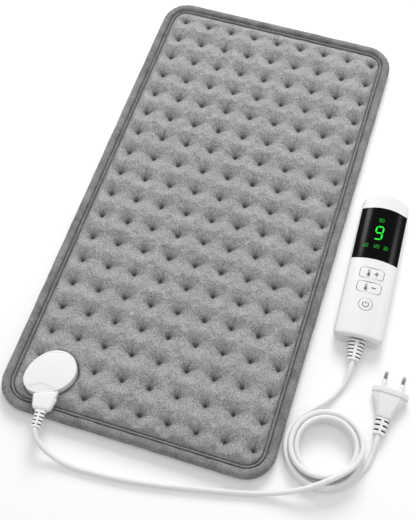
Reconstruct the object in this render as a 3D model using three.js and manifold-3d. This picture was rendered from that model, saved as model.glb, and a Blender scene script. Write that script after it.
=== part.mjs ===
// Heating pad with a corner pod, a plug-in lead set, a coiled cord, a handset and a two-pin plug.
// Millimetres, +Z up. The origin is the centre of the pad's underside, +Y runs along the pad,
// away from the pod, and everything lies on the plane z = 0.
import * as THREE from 'three';
import { mergeVertices } from 'three/addons/utils/BufferGeometryUtils.js';
import Module from 'manifold-3d';

const wasm = await Module();
wasm.setup();

// Clearances
const FIT = 0.3;              // between pieces that sit on or in each other
const RUN = 0.35;             // round a piece that moves
const TILT = Math.PI / 180;

// Facets
const CURVE_STEPS = 6;
const OVAL_STEPS = 12;
const CYLINDER_SIDES = 16;
const BOOT_SIDES = 20;
const PIN_SIDES = 12;
const SCREW_SIDES = 10;
const EDGE_STEPS = 2;
const SOFT_EDGE_STEPS = 3;
const PLAIN_EDGE_STEPS = 1;
const WIRE_BEND_STEPS = 8;

// Pad
const PAD_WIDTH = 298;
const PAD_LENGTH = 580;
const PAD_CORNER = 32;
const BINDING_WIDTH = 9.7;
const BINDING_HEIGHT = 13;
const BINDING_ROUND = 4.5;
const WELT_WIDTH = 2.6;
const WELT_HEIGHT = 11.2;
const WELT_ROUND = 1.2;
const COVER_THICKNESS = 1.2;
const WADDING_THICKNESS = 1.7;
const TUFT_PITCH = 30.5;
const TUFT_EDGE = 8;          // least distance from a tuft to the welt
const TUFT_SHIFT = { x: 3.3, y: -0.8 }; // of the whole grid from the pad's middle
const TUFT_THICKNESS = 2;     // cover over the wire, at the bottom of a tuft
const TUFT_DEPTH = 7;         // from the crown down to the bottom of a tuft
const SADDLE_DROP = 2.4;      // from the crown down to the fold between two tufts
const FIELD_EDGE_DROP = 5.2;  // from the crown down to the seam at the welt
const WIRE_SIZE = 1.8;
const WIRE_MARGIN = 15;       // from the welt to the wire's bends
const WIRE_RETURN = 6;        // from the bends to the wire's way back to the pod
const CUTOUT_LENGTH = 14;
const CUTOUT_WIDTH = 6;

// Pod on the pad's corner
const POD_LONG = 55.5;
const POD_SHORT = 44.5;
const POD_TURN = 46;          // degrees from X to the pod's long axis
const POD_INSET_X = 50.5;     // from the pad's sides to the pod's centre
const POD_INSET_Y = 43.7;
const POD_BASE = 2;
const POD_HEIGHT = 13;
const POD_WALL = 2;
const POD_ROUND = 4;
const POD_BOARD_WIDTH = 17;
const POD_BOARD_LENGTH = 13;
const BOARD_THICKNESS = 1.6;
const SCREW_SHANK = 2.4;
const SCREW_HEAD = 5;
const SCREW_HEAD_HEIGHT = 1.2;
const SCREW_LENGTH = 7;
const BOSS_WALL = 1.8;
const POD_SCREW_OUT = 17;     // from the pod's centre, along its long axis

// Connector
const CONNECTOR_TURN = 5;     // degrees from -Y towards +X
const CONNECTOR_SHIFT = 2;    // from the pod's centre to the connector's axis
const CONNECTOR_LENGTH = 15.5;
const CONNECTOR_WIDTH = 20.6;
const CONNECTOR_TAIL = 17.6;
const CONNECTOR_HEIGHT = 9.4;
const CONNECTOR_ROUND = 1.6;
const NOSE_LENGTH = 9;
const NOSE_WIDTH = 14;
const NOSE_HEIGHT = 6.2;
const BLADE_LENGTH = 8;
const BLADE_WIDTH = 2;
const BLADE_HEIGHT = 1.2;
const BLADE_SPACING = 8;
const CONTACT_THICKNESS = 0.9;
const LATCH_THICKNESS = 1.8;
const LATCH_HEIGHT = 5;
const LATCH_OPEN = 1.0;       // gap at the latch arm's free end
const LATCH_INSET = 1;        // from the connector's ends to the latch arm's ends
const CONNECTOR_BOOT_LENGTH = 18.5;
const CONNECTOR_BOOT_WIDTH = 12;
const CONNECTOR_BOOT_HEIGHT = 8.8;
const CONNECTOR_BOOT_TIP = 9.6;

// Cord and coil
const CORD = 5.2;
const COIL_GAP = 0.55;
const COIL_CENTRE = new THREE.Vector2(194.2, -234.2);
const COIL_INNER = 30.5;      // radius to the middle of the innermost turn
const COIL_CROSSING = 2.5;    // how far outside that turn the pad's lead crosses the coil
const MAINS_LOOSE = 10.5;     // how far the bottom layer spirals out
const HANDSET_LOOSE = 4.75;   // how far the handset's lead lies outside the joint
const PAD_MOVES_OUT = [-40, 20];  // degrees round the coil, from and to
const PAD_LIES_DOWN = [0, 80];
const PAD_SPIRALS_IN = [210, 300];
const PAD_SINKS = [470, 630];
const MAINS_SPIRALS_OUT = [430, 560];
const HANDSET_DRAWS_IN = 110; // degrees before the joint
const LOOP_STEPS = 24;
const LOOP_SIDES = 6;
const CORD_SIDES = 10;
const CORD_STEP = 2.2;        // tube step, in cord diameters
const JOINT_MIDDLE = 45;      // degrees round the coil
const JOINT_LENGTH = 26;
const JOINT_WALL = 1;
const JOINT_HEIGHT = 5.5;

// Handset
const HANDSET_X = 47.2;         // from the pad's side to the middle of the handset's lower end
const HANDSET_Y = -111;
const HANDSET_TURN = 2.4;
const HANDSET_LENGTH = 185;
const HANDSET_WIDTH = 53.5;
const HANDSET_HEIGHT = 23;
const HANDSET_WIDEST = 10.5;  // height of the widest line, where the two shells meet
const HANDSET_SHOULDER = 16.6;
const HANDSET_SHOULDER_IN = 3;
const HANDSET_FLAT = 34;      // width of the flat underneath
const HANDSET_TOP_CORNER = 13;
const HANDSET_TOP_ARCH = 4;
const HANDSET_LOW_CORNER = 5;
const SHELL_WALL = 2;
const LENS_INSET = 26;        // from the handset's top end to the lens
const LENS_LENGTH = 63.6;
const LENS_ARCH = 4;
const LENS_THICKNESS = 1.5;
const LENS_EDGE = 15;         // height of the lens's lower edge
const DISPLAY_WIDTH = 30;
const DISPLAY_LENGTH = 44;
const DISPLAY_THICKNESS = 3;
const BOARD_HEIGHT = 7.4;
const BOARD_WIDTH = 40;
const BOARD_MARGIN = 9;       // from the lens's top edge to the board's end
const POST_SIZE = 5;
const POST_INSET = 6;
const KEY_WIDTH = 26;
const KEY_LENGTH = 12.6;
const KEY_CORNER = 3.4;
const WARMER_DROP = 18.0;     // from the lens's lower edge down to the middles of the keys
const COOLER_DROP = 35.5;
const POWER_DROP = 56.7;
const POWER_SIZE = 14.4;
const KEY_PROUD = 0.5;
const KEY_CAP = 2;
const KEY_STEM = 4.4;
const SWITCH_SIZE = 6.2;
const SWITCH_HEIGHT = 3.6;
const PLUNGER_SIZE = 3.4;
const PLUNGER_PROUD = 1.4;
const PLUNGER_DEEP = 1.4;
const PLUNGER_ROOM = 1;       // free depth under the plunger
const HANDSET_SCREW_LENGTH = 6;
const HANDSET_SCREW_INSET = 12;
const CHIP_SIZE = 10;
const CHIP_HEIGHT = 1.6;
const TRIAC_WIDTH = 10;
const TRIAC_LENGTH = 14;
const TRIAC_HEIGHT = 4.4;
const FILM_WIDTH = 7;
const FILM_LENGTH = 14;
const FILM_HEIGHT = 8;
const CAN_SIZE = 8;
const CAN_LENGTH = 12;
const FUSE_SIZE = 5;
const FUSE_LENGTH = 20;
const HANDSET_BOOT_LENGTH = 23;
const HANDSET_BOOT_WIDTH = 18.5;
const HANDSET_BOOT_HEIGHT = 13;
const HANDSET_BOOT_TIP = 12.8;
const HANDSET_BOOT_RISE = 9;  // height of the boot's axis

// Plug
const PLUG_X = 94.5;          // from the pad's side to the middle of the plug's face
const PLUG_Y = -153.5;
const PLUG_TURN = -2.6;
const PLUG_WIDTH = 36;
const PLUG_FLANGE = 8;
const PLUG_BODY = 33;
const PLUG_NECK = 15;
const PLUG_HEIGHT = 13.7;
const PLUG_ROUND = 1.6;
const PIN_SPACING = 19;
const PIN_SIZE = 4;
const PIN_CORE = 2.4;
const PIN_LENGTH = 19;
const SLEEVE_LENGTH = 10;
const PLUG_BOOT_LENGTH = 18;
const PLUG_BOOT_HEIGHT = 10.5;
const PLUG_BOOT_TIP = 11.6;

// Materials
const finish = (color, roughness, metalness = 0) =>
  new THREE.MeshStandardMaterial({ color, roughness, metalness });
const PLUSH = finish(0x8b8b8d, 0.95);
const BINDING_CLOTH = finish(0x77777a, 0.9);
const WADDING = finish(0xe4e2dc, 1);
const WHITE_PLASTIC = finish(0xf2f2f3, 0.35);
const WHITE_RUBBER = finish(0xeeeeef, 0.5);
const BLACK_GLOSS = finish(0x0a0a0b, 0.08);
const BLACK_PLASTIC = finish(0x1c1c1f, 0.5);
const BOARD_GREEN = finish(0x2f6b45, 0.6);
const STEEL = finish(0xc9cace, 0.3, 1);
const BRASS = finish(0xc8a24a, 0.35, 1);
const WIRE_RED = finish(0xb4493c, 0.6);
const GLASS = finish(0xdfe6e6, 0.1);

// Solids
function solid(geometry) {
  const bare = new THREE.BufferGeometry();
  bare.setAttribute('position', geometry.getAttribute('position').clone());
  bare.setIndex(geometry.getIndex());
  const merged = mergeVertices(bare, 1e-4);
  const vertProperties = new Float32Array(merged.getAttribute('position').array);
  const triVerts = new Uint32Array(merged.getIndex().array);
  return new wasm.Manifold(new wasm.Mesh({ numProp: 3, vertProperties, triVerts }));
}

function geometryOf(body) {
  const mesh = body.getMesh();
  const geometry = new THREE.BufferGeometry();
  geometry.setAttribute('position', new THREE.BufferAttribute(mesh.vertProperties, 3));
  geometry.setIndex(new THREE.BufferAttribute(mesh.triVerts, 1));
  return geometry;
}

function place(parent, name, shape, material) {
  const geometry = shape.isBufferGeometry ? shape : geometryOf(shape);
  geometry.computeVertexNormals();
  const mesh = new THREE.Mesh(geometry, material);
  mesh.name = name;
  parent.add(mesh);
}

const slab = (shape, low, high, curveSegments = CURVE_STEPS) =>
  new THREE.ExtrudeGeometry(shape, { depth: high - low, bevelEnabled: false, curveSegments })
    .translate(0, 0, low);

const roundedSlab = (shape, low, high, round, bevelSegments = EDGE_STEPS, curveSegments = CURVE_STEPS) =>
  new THREE.ExtrudeGeometry(shape, {
    depth: high - low - 2 * round,
    bevelThickness: round,
    bevelSize: round,
    bevelOffset: -round,
    bevelSegments,
    curveSegments,
  }).translate(0, 0, low + round);

const block = (width, length, low, high, x = 0, y = 0) =>
  new THREE.BoxGeometry(width, length, high - low).translate(x, y, (low + high) / 2);

const upright = (size, low, high, x = 0, y = 0, sides = CYLINDER_SIDES) =>
  new THREE.CylinderGeometry(size / 2, size / 2, high - low, sides)
    .rotateX(90 * TILT)
    .translate(x, y, (low + high) / 2);

function roundedRect(width, length, radius) {
  const x = width / 2 - radius;
  const y = length / 2 - radius;
  const shape = new THREE.Shape();
  shape.absarc(x, y, radius, 0, 90 * TILT, false);
  shape.absarc(-x, y, radius, 90 * TILT, 180 * TILT, false);
  shape.absarc(-x, -y, radius, 180 * TILT, 270 * TILT, false);
  shape.absarc(x, -y, radius, 270 * TILT, 360 * TILT, false);
  return shape;
}

// A strip of even width along a flat path
function strip(path, width) {
  const left = [];
  const right = [];
  path.forEach((point, i) => {
    const before = path[Math.max(i - 1, 0)];
    const after = path[Math.min(i + 1, path.length - 1)];
    const along = after.clone().sub(before).normalize();
    const side = new THREE.Vector2(-along.y, along.x).multiplyScalar(width / 2);
    left.push(point.clone().add(side));
    right.unshift(point.clone().sub(side));
  });
  return new THREE.Shape(right.concat(left));
}

// A tapered oval boot along -Y, from its wide end at y = 0
function taperedBoot(length, width, height, tip) {
  return new THREE.CylinderGeometry(width / 2, tip / 2, length, BOOT_SIDES)
    .translate(0, -length / 2, 0)
    .scale(1, 1, height / width);
}

// A pan-head screw pointing up, its head's underside at z = 0
function screw(length) {
  const shank = SCREW_SHANK / 2;
  const profile = [
    new THREE.Vector2(0, -SCREW_HEAD_HEIGHT),
    new THREE.Vector2(SCREW_HEAD / 2, -SCREW_HEAD_HEIGHT),
    new THREE.Vector2(SCREW_HEAD / 2, 0),
    new THREE.Vector2(shank, 0),
    new THREE.Vector2(shank, length - shank),
    new THREE.Vector2(0, length),
  ];
  return new THREE.LatheGeometry(profile, SCREW_SIDES).rotateX(90 * TILT);
}

// Pad levels, from the floor up
const LAYER_LOW = COVER_THICKNESS + FIT;
const WIRE_LOW = LAYER_LOW + WADDING_THICKNESS + FIT;
const TOP_LOW = WIRE_LOW + WIRE_SIZE + FIT;
const TUFT_LEVEL = TOP_LOW + TUFT_THICKNESS;
const CROWN_LEVEL = TUFT_LEVEL + TUFT_DEPTH;
const WELT_INSET = BINDING_WIDTH + FIT;
const FIELD_INSET = WELT_INSET + WELT_WIDTH + FIT;
const FIELD_X = PAD_WIDTH / 2 - FIELD_INSET;
const FIELD_Y = PAD_LENGTH / 2 - FIELD_INSET;

// Pod and connector levels
const POD_CENTRE = new THREE.Vector2(POD_INSET_X - PAD_WIDTH / 2, POD_INSET_Y - PAD_LENGTH / 2);
const POD_SEAT = TUFT_LEVEL + FIT;
const POD_LOW = POD_SEAT + FIT;
const POD_COVER_LOW = POD_LOW + POD_BASE + FIT;
const POD_TOP = POD_COVER_LOW + POD_HEIGHT;
const CONNECTOR_LEVEL = BINDING_HEIGHT + FIT + FIT + CONNECTOR_HEIGHT / 2;

const padOutline = (inset) =>
  roundedRect(PAD_WIDTH - 2 * inset, PAD_LENGTH - 2 * inset, PAD_CORNER - inset);

function padBand(outerInset, innerInset) {
  const shape = padOutline(outerInset);
  shape.holes.push(padOutline(innerInset));
  return shape;
}

function podOutline(grow) {
  const shape = new THREE.Shape();
  shape.absellipse(0, 0, POD_LONG / 2 + grow, POD_SHORT / 2 + grow, 0, 360 * TILT, false, POD_TURN * TILT);
  return shape;
}

// How many tufts fit across a width, at the pitch
const tuftCount = (half) => Math.floor((2 * half - 2 * TUFT_EDGE) / TUFT_PITCH) + 1;

// Grid lines across the field: an edge, then tufts with a line between each two, then an edge
function tuftLines(half, shift) {
  const count = tuftCount(half);
  const lines = [{ at: -half, kind: 'edge' }];
  for (let i = 0; i <= 2 * (count - 1); i += 1) {
    lines.push({ at: shift + (i - count + 1) * TUFT_PITCH / 2, kind: i % 2 ? 'between' : 'tuft' });
  }
  lines.push({ at: half, kind: 'edge' });
  return lines;
}

function fieldLevel(across, along) {
  if (across.kind === 'edge' || along.kind === 'edge') return CROWN_LEVEL - FIELD_EDGE_DROP;
  if (across.kind === 'tuft' && along.kind === 'tuft') return TUFT_LEVEL;
  return across.kind === along.kind ? CROWN_LEVEL : CROWN_LEVEL - SADDLE_DROP;
}

// Keeps a point of the field inside its rounded corners
function insideCorner(x, y) {
  const radius = PAD_CORNER - FIELD_INSET;
  const centre = new THREE.Vector2(Math.sign(x) * (FIELD_X - radius), Math.sign(y) * (FIELD_Y - radius));
  const past = Math.abs(x) > FIELD_X - radius && Math.abs(y) > FIELD_Y - radius;
  const point = new THREE.Vector2(x, y);
  return past ? point.sub(centre).clampLength(0, radius).add(centre) : point;
}

// The quilted upper cover with its filling: crowns between sewn tufts, drawn down at the welt
function tuftedField() {
  const xs = tuftLines(FIELD_X, TUFT_SHIFT.x);
  const ys = tuftLines(FIELD_Y, TUFT_SHIFT.y);
  const positions = [];
  const faces = [];
  const at = (i, j) => j * xs.length + i;
  ys.forEach((along) => xs.forEach((across) => {
    const point = insideCorner(across.at, along.at);
    positions.push(point.x, point.y, fieldLevel(across, along));
  }));
  for (let j = 0; j < ys.length - 1; j += 1) {
    for (let i = 0; i < xs.length - 1; i += 1) {
      const corners = [at(i, j), at(i + 1, j), at(i + 1, j + 1), at(i, j + 1)];
      const turn = xs[i].kind === 'tuft' === (ys[j].kind === 'tuft') ? 0 : 1;
      const [a, b, c, d] = corners.slice(turn).concat(corners.slice(0, turn));
      faces.push(a, b, c, a, c, d);
    }
  }
  const rim = [];
  for (let i = 0; i < xs.length - 1; i += 1) rim.push(at(i, 0));
  for (let j = 0; j < ys.length - 1; j += 1) rim.push(at(xs.length - 1, j));
  for (let i = xs.length - 1; i > 0; i -= 1) rim.push(at(i, ys.length - 1));
  for (let j = ys.length - 1; j > 0; j -= 1) rim.push(at(0, j));
  const outline = rim.map((k) => new THREE.Vector2(positions[3 * k], positions[3 * k + 1]));
  const base = positions.length / 3;
  outline.forEach((point) => positions.push(point.x, point.y, TOP_LOW));
  rim.forEach((k, i) => {
    const next = (i + 1) % rim.length;
    faces.push(k, base + i, base + next, k, base + next, rim[next]);
  });
  THREE.ShapeUtils.triangulateShape(outline, []).forEach(([a, b, c]) => {
    faces.push(base + a, base + c, base + b);
  });
  const geometry = new THREE.BufferGeometry();
  geometry.setAttribute('position', new THREE.Float32BufferAttribute(positions, 3));
  geometry.setIndex(faces);
  return geometry;
}

// The wire runs up and down at the tuft pitch, as often up as down, and comes back along the lower edge
function wirePath() {
  const passes = 2 * Math.floor((tuftCount(FIELD_X) - 1) / 2);
  const top = FIELD_Y - WIRE_MARGIN - TUFT_PITCH / 2;
  const path = [new THREE.Vector2(-(passes - 1) * TUFT_PITCH / 2, -top)];
  for (let i = 0; i < passes - 1; i += 1) {
    const middle = (i + 1 - passes / 2) * TUFT_PITCH;
    const end = i % 2 ? -top : top;
    const way = i % 2 ? 1 : -1;
    for (let k = 0; k <= WIRE_BEND_STEPS; k += 1) {
      const turn = 180 * TILT * (1 + way * k / WIRE_BEND_STEPS);
      path.push(new THREE.Vector2(
        middle + Math.cos(turn) * TUFT_PITCH / 2,
        end + Math.sin(turn) * TUFT_PITCH / 2,
      ));
    }
  }
  const last = path[path.length - 1];
  const low = -top - TUFT_PITCH / 2 - WIRE_RETURN;
  path.push(new THREE.Vector2(last.x, low + WIRE_RETURN));
  path.push(new THREE.Vector2(last.x - WIRE_RETURN, low));
  path.push(new THREE.Vector2(POD_CENTRE.x + POD_BOARD_WIDTH / 2, low));
  return path;
}

function makePad() {
  const pad = new THREE.Group();
  const pocket = solid(slab(podOutline(FIT), POD_SEAT, 2 * CROWN_LEVEL, OVAL_STEPS)
    .translate(POD_CENTRE.x, POD_CENTRE.y, 0));
  place(pad, 'pad_top_cover', solid(tuftedField()).subtract(pocket), PLUSH);
  place(pad, 'pad_bottom_cover', slab(padOutline(WELT_INSET), 0, COVER_THICKNESS), BINDING_CLOTH);
  place(pad, 'edge_binding',
    roundedSlab(padBand(0, BINDING_WIDTH), 0, BINDING_HEIGHT, BINDING_ROUND, SOFT_EDGE_STEPS),
    BINDING_CLOTH);
  place(pad, 'seam_welt',
    roundedSlab(padBand(WELT_INSET, WELT_INSET + WELT_WIDTH), LAYER_LOW, WELT_HEIGHT, WELT_ROUND,
      PLAIN_EDGE_STEPS),
    BINDING_CLOTH);
  place(pad, 'wadding', slab(padOutline(FIELD_INSET), LAYER_LOW, LAYER_LOW + WADDING_THICKNESS), WADDING);
  place(pad, 'heating_wire', slab(strip(wirePath(), WIRE_SIZE), WIRE_LOW, WIRE_LOW + WIRE_SIZE), WIRE_RED);
  place(pad, 'thermal_cutout',
    block(CUTOUT_WIDTH, CUTOUT_LENGTH, WIRE_LOW, WIRE_LOW + WIRE_SIZE), BLACK_PLASTIC);
  return pad;
}

// The pod's frame has its origin at the pod's centre on the floor
function makePod() {
  const pod = new THREE.Group();
  pod.position.set(POD_CENTRE.x, POD_CENTRE.y, 0);
  const screwAt = [1, -1].map((way) => new THREE.Vector2(
    way * POD_SCREW_OUT * Math.cos(POD_TURN * TILT),
    way * POD_SCREW_OUT * Math.sin(POD_TURN * TILT),
  ));
  const roof = POD_TOP - POD_WALL;
  const headTop = POD_LOW + SCREW_HEAD_HEIGHT;
  let base = solid(slab(podOutline(0), POD_LOW, POD_LOW + POD_BASE, OVAL_STEPS));
  let cover = solid(roundedSlab(podOutline(0), POD_COVER_LOW - POD_ROUND, POD_TOP, POD_ROUND,
    SOFT_EDGE_STEPS, OVAL_STEPS));
  cover = cover.subtract(solid(block(2 * POD_LONG, 2 * POD_LONG, 0, POD_COVER_LOW)));
  cover = cover.subtract(solid(slab(podOutline(-POD_WALL), 0, roof, OVAL_STEPS)));
  screwAt.forEach((at, i) => {
    const hole = SCREW_SHANK + 2 * FIT;
    base = base.subtract(solid(upright(SCREW_HEAD + 2 * FIT, 0, headTop + FIT, at.x, at.y)));
    base = base.subtract(solid(upright(hole, 0, POD_TOP, at.x, at.y)));
    const boss = solid(upright(hole + 2 * BOSS_WALL, POD_COVER_LOW, roof + POD_WALL / 2, at.x, at.y));
    cover = cover.add(boss);
    cover = cover.subtract(solid(upright(hole, 0, headTop + SCREW_LENGTH + FIT, at.x, at.y)));
    place(pod, `pod_screw_${i + 1}`, screw(SCREW_LENGTH).translate(at.x, at.y, headTop), STEEL);
  });
  const mouth = new THREE.BoxGeometry(NOSE_WIDTH + 2 * RUN, POD_LONG, NOSE_HEIGHT + 2 * RUN)
    .translate(CONNECTOR_SHIFT, -NOSE_LENGTH / 2 - POD_LONG / 2, CONNECTOR_LEVEL)
    .rotateZ(CONNECTOR_TURN * TILT);
  place(pod, 'pod_base', base, WHITE_PLASTIC);
  place(pod, 'pod_cover', cover.subtract(solid(mouth)), WHITE_PLASTIC);
  const boardTop = POD_COVER_LOW + BOARD_THICKNESS;
  const board = block(POD_BOARD_WIDTH, POD_BOARD_LENGTH, POD_COVER_LOW, boardTop);
  place(pod, 'pod_board', board.rotateZ(CONNECTOR_TURN * TILT), BOARD_GREEN);
  const stripLow = CONNECTOR_LEVEL + BLADE_HEIGHT / 2 + FIT;
  const stripHigh = stripLow + CONTACT_THICKNESS;
  [['left', -1], ['right', 1]].forEach(([side, way]) => {
    const leg = solid(block(BLADE_WIDTH, CONTACT_THICKNESS, boardTop + FIT, stripHigh));
    const tongue = block(BLADE_WIDTH, BLADE_LENGTH, stripLow, stripHigh).translate(0, -BLADE_LENGTH / 2, 0);
    const contact = geometryOf(leg.add(solid(tongue)));
    contact.translate(CONNECTOR_SHIFT + way * BLADE_SPACING / 2, bladeTip() + BLADE_LENGTH / 2, 0);
    place(pod, `socket_contact_${side}`, contact.rotateZ(CONNECTOR_TURN * TILT), BRASS);
  });
  return pod;
}

// Distance from the pod's centre line to its edge along the connector's axis: an oval cut by a line
function podReach() {
  const turn = (POD_TURN - CONNECTOR_TURN) * TILT;
  const long = 4 / POD_LONG ** 2;
  const short = 4 / POD_SHORT ** 2;
  const across = long * Math.cos(turn) ** 2 + short * Math.sin(turn) ** 2;
  const along = long * Math.sin(turn) ** 2 + short * Math.cos(turn) ** 2;
  const skew = (long - short) * Math.sin(turn) * Math.cos(turn) * CONNECTOR_SHIFT;
  return (skew + Math.sqrt(skew ** 2 - along * (across * CONNECTOR_SHIFT ** 2 - 1))) / along;
}

const noseEnd = () => -podReach() - FIT + NOSE_LENGTH;
const bladeTip = () => noseEnd() + FIT + BLADE_LENGTH;

// The connector's frame has its origin beside the pod's centre, at the height of the cord
const CONNECTOR_START = -podReach() - POD_ROUND / 2;
const CONNECTOR_END = CONNECTOR_START - CONNECTOR_LENGTH;
const CONNECTOR_EXIT = CONNECTOR_END - FIT - CONNECTOR_BOOT_LENGTH;

// The connector's tapered side
function connectorSide(y) {
  const share = (CONNECTOR_START - y) / CONNECTOR_LENGTH;
  return (CONNECTOR_WIDTH + (CONNECTOR_TAIL - CONNECTOR_WIDTH) * share) / 2;
}

function makeConnector() {
  const connector = new THREE.Group();
  connector.position.set(
    POD_CENTRE.x + CONNECTOR_SHIFT * Math.cos(CONNECTOR_TURN * TILT),
    POD_CENTRE.y + CONNECTOR_SHIFT * Math.sin(CONNECTOR_TURN * TILT),
    CONNECTOR_LEVEL,
  );
  connector.rotation.z = CONNECTOR_TURN * TILT;
  const corner = CONNECTOR_BOOT_WIDTH / 2 + CONNECTOR_ROUND;
  const half = CONNECTOR_HEIGHT / 2;
  const outline = new THREE.Shape();
  outline.moveTo(-connectorSide(CONNECTOR_START), CONNECTOR_START);
  outline.lineTo(-connectorSide(CONNECTOR_END + CONNECTOR_ROUND), CONNECTOR_END + CONNECTOR_ROUND);
  outline.lineTo(-corner, CONNECTOR_END);
  outline.lineTo(corner, CONNECTOR_END);
  outline.lineTo(connectorSide(CONNECTOR_END + CONNECTOR_ROUND), CONNECTOR_END + CONNECTOR_ROUND);
  outline.lineTo(connectorSide(CONNECTOR_START), CONNECTOR_START);
  const grip = solid(roundedSlab(outline, -half, half, CONNECTOR_ROUND));
  const noseRoot = CONNECTOR_START - CONNECTOR_LENGTH / 2;
  const nose = solid(new THREE.BoxGeometry(NOSE_WIDTH, noseEnd() - noseRoot, NOSE_HEIGHT)
    .translate(0, (noseEnd() + noseRoot) / 2, 0));
  place(connector, 'connector_body', grip.add(nose), WHITE_PLASTIC);
  const armBack = CONNECTOR_END + CONNECTOR_ROUND + LATCH_INSET;
  const armFront = CONNECTOR_START - LATCH_INSET;
  [['left', -1], ['right', 1]].forEach(([side, way]) => {
    const blade = new THREE.BoxGeometry(BLADE_WIDTH, BLADE_LENGTH, BLADE_HEIGHT);
    blade.translate(way * BLADE_SPACING / 2, noseEnd() + FIT + BLADE_LENGTH / 2, 0);
    place(connector, `connector_blade_${side}`, blade, BRASS);
    const arm = new THREE.Shape([
      new THREE.Vector2(way * (connectorSide(armBack) + FIT), armBack),
      new THREE.Vector2(way * (connectorSide(armBack) + FIT + LATCH_THICKNESS), armBack),
      new THREE.Vector2(way * (connectorSide(armFront) + LATCH_OPEN + LATCH_THICKNESS), armFront),
      new THREE.Vector2(way * (connectorSide(armFront) + LATCH_OPEN), armFront),
    ]);
    place(connector, `latch_arm_${side}`, slab(arm, -LATCH_HEIGHT / 2, LATCH_HEIGHT / 2), WHITE_PLASTIC);
  });
  const boot = taperedBoot(CONNECTOR_BOOT_LENGTH, CONNECTOR_BOOT_WIDTH, CONNECTOR_BOOT_HEIGHT,
    CONNECTOR_BOOT_TIP);
  place(connector, 'connector_boot', boot.translate(0, CONNECTOR_END - FIT, 0), WHITE_RUBBER);
  return connector;
}

// Coil levels: three layers of cord, and a fourth where the pad's lead crosses them
const COIL_PITCH = CORD + COIL_GAP;
const LAYERS = [0, 1, 2, 3].map((layer) => CORD / 2 + layer * COIL_PITCH);
const JOINT_HALF = JOINT_LENGTH / 2 / (COIL_INNER + COIL_PITCH / 2) / TILT;
const JOINT_FROM = JOINT_MIDDLE - JOINT_HALF;
const JOINT_TO = JOINT_MIDDLE + JOINT_HALF;
const FACE_GAP = FIT / COIL_INNER / TILT;       // the gap at a face, in degrees round the coil
const END_TURN = 2 * CORD / COIL_INNER / TILT;  // a wound cord's end, straight and level

const coilPoint = (turn, radius, level) => new THREE.Vector3(
  COIL_CENTRE.x + radius * Math.cos(turn * TILT),
  COIL_CENTRE.y + radius * Math.sin(turn * TILT),
  level,
);

// The pad's lead crosses the coil, lies down outside its next turn, spirals in and sinks into the joint
const eased = THREE.MathUtils.smoothstep;
const PAD_COIL_END = JOINT_FROM + 720 - FACE_GAP;
const PAD_COIL_START = -50;
function padTurn(turn) {
  const out = COIL_CROSSING + (COIL_PITCH - COIL_CROSSING) * eased(turn, ...PAD_MOVES_OUT);
  const radius = COIL_INNER + out * (1 - eased(turn, ...PAD_SPIRALS_IN));
  const sunk = eased(turn, ...PAD_LIES_DOWN) + eased(turn, ...PAD_SINKS);
  return coilPoint(turn, radius, LAYERS[3] - sunk * COIL_PITCH);
}

// The mains lead leaves the joint, sinks to the floor in its first half turn and spirals out
const MAINS_COIL_START = JOINT_TO + FACE_GAP;
const MAINS_COIL_END = 700;
function mainsTurn(turn) {
  const sunk = THREE.MathUtils.clamp((turn - MAINS_COIL_START - END_TURN) / (180 - END_TURN), 0, 1);
  const radius = COIL_INNER + MAINS_LOOSE * eased(turn, ...MAINS_SPIRALS_OUT);
  return coilPoint(turn, radius, LAYERS[1] - sunk * COIL_PITCH);
}

// The handset's lead lies in the middle layer, outside the other two, into the joint
const HANDSET_COIL_END = JOINT_FROM + 360 - FACE_GAP;
const HANDSET_COIL_START = 140;
function handsetTurn(turn) {
  const loose = HANDSET_LOOSE * eased(HANDSET_COIL_END - turn, 0, HANDSET_DRAWS_IN);
  return coilPoint(turn, COIL_INNER + COIL_PITCH + loose, LAYERS[1]);
}

// Points round the coil, about as many in each turn as the tube has steps
function turns(pointAt, from, to) {
  const count = Math.ceil((to - from) / 360 * LOOP_STEPS);
  return Array.from({ length: count + 1 }, (_, i) => pointAt(from + (to - from) * i / count));
}

// A point straight ahead of a turn of the coil, or straight behind it
const ahead = (pointAt, turn, way) => new THREE.Vector3(-Math.sin(turn * TILT), Math.cos(turn * TILT), 0)
  .multiplyScalar(way)
  .add(pointAt(turn));

// The end of a wound cord runs straight for one diameter, square to the face that it meets
const straightEnd = (pointAt, to) => [ahead(pointAt, to, -CORD), pointAt(to)];
const wound = (pointAt, from, to) => [
  pointAt(from),
  ahead(pointAt, from, CORD),
  ...turns(pointAt, from + END_TURN, to - END_TURN),
  ...straightEnd(pointAt, to),
];

const corded = (points) => new THREE.CatmullRomCurve3(points, false, 'centripetal');

function tube(curve, sides, steps) {
  const section = new THREE.Shape(Array.from({ length: sides }, (_, i) => {
    const turn = (i + 0.5) / sides * 360 * TILT;
    return new THREE.Vector2(Math.cos(turn), Math.sin(turn)).multiplyScalar(CORD / 2);
  }));
  return new THREE.ExtrudeGeometry(section, { steps, extrudePath: curve, bevelEnabled: false });
}

const freeTube = (points) => {
  const curve = corded(points);
  return tube(curve, CORD_SIDES, Math.round(curve.getLength() / (CORD * CORD_STEP)));
};

const woundTube = (points) => tube(corded(points), LOOP_SIDES, points.length - 1);

// The least gap between one stretch of a wound cord and the next, past its own bend
function leastGap(points) {
  let least = Infinity;
  points.forEach((a, i) => points.slice(i + LOOP_STEPS / 2).forEach((b) => {
    least = Math.min(least, a.distanceTo(b) - CORD);
  }));
  return least;
}

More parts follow.
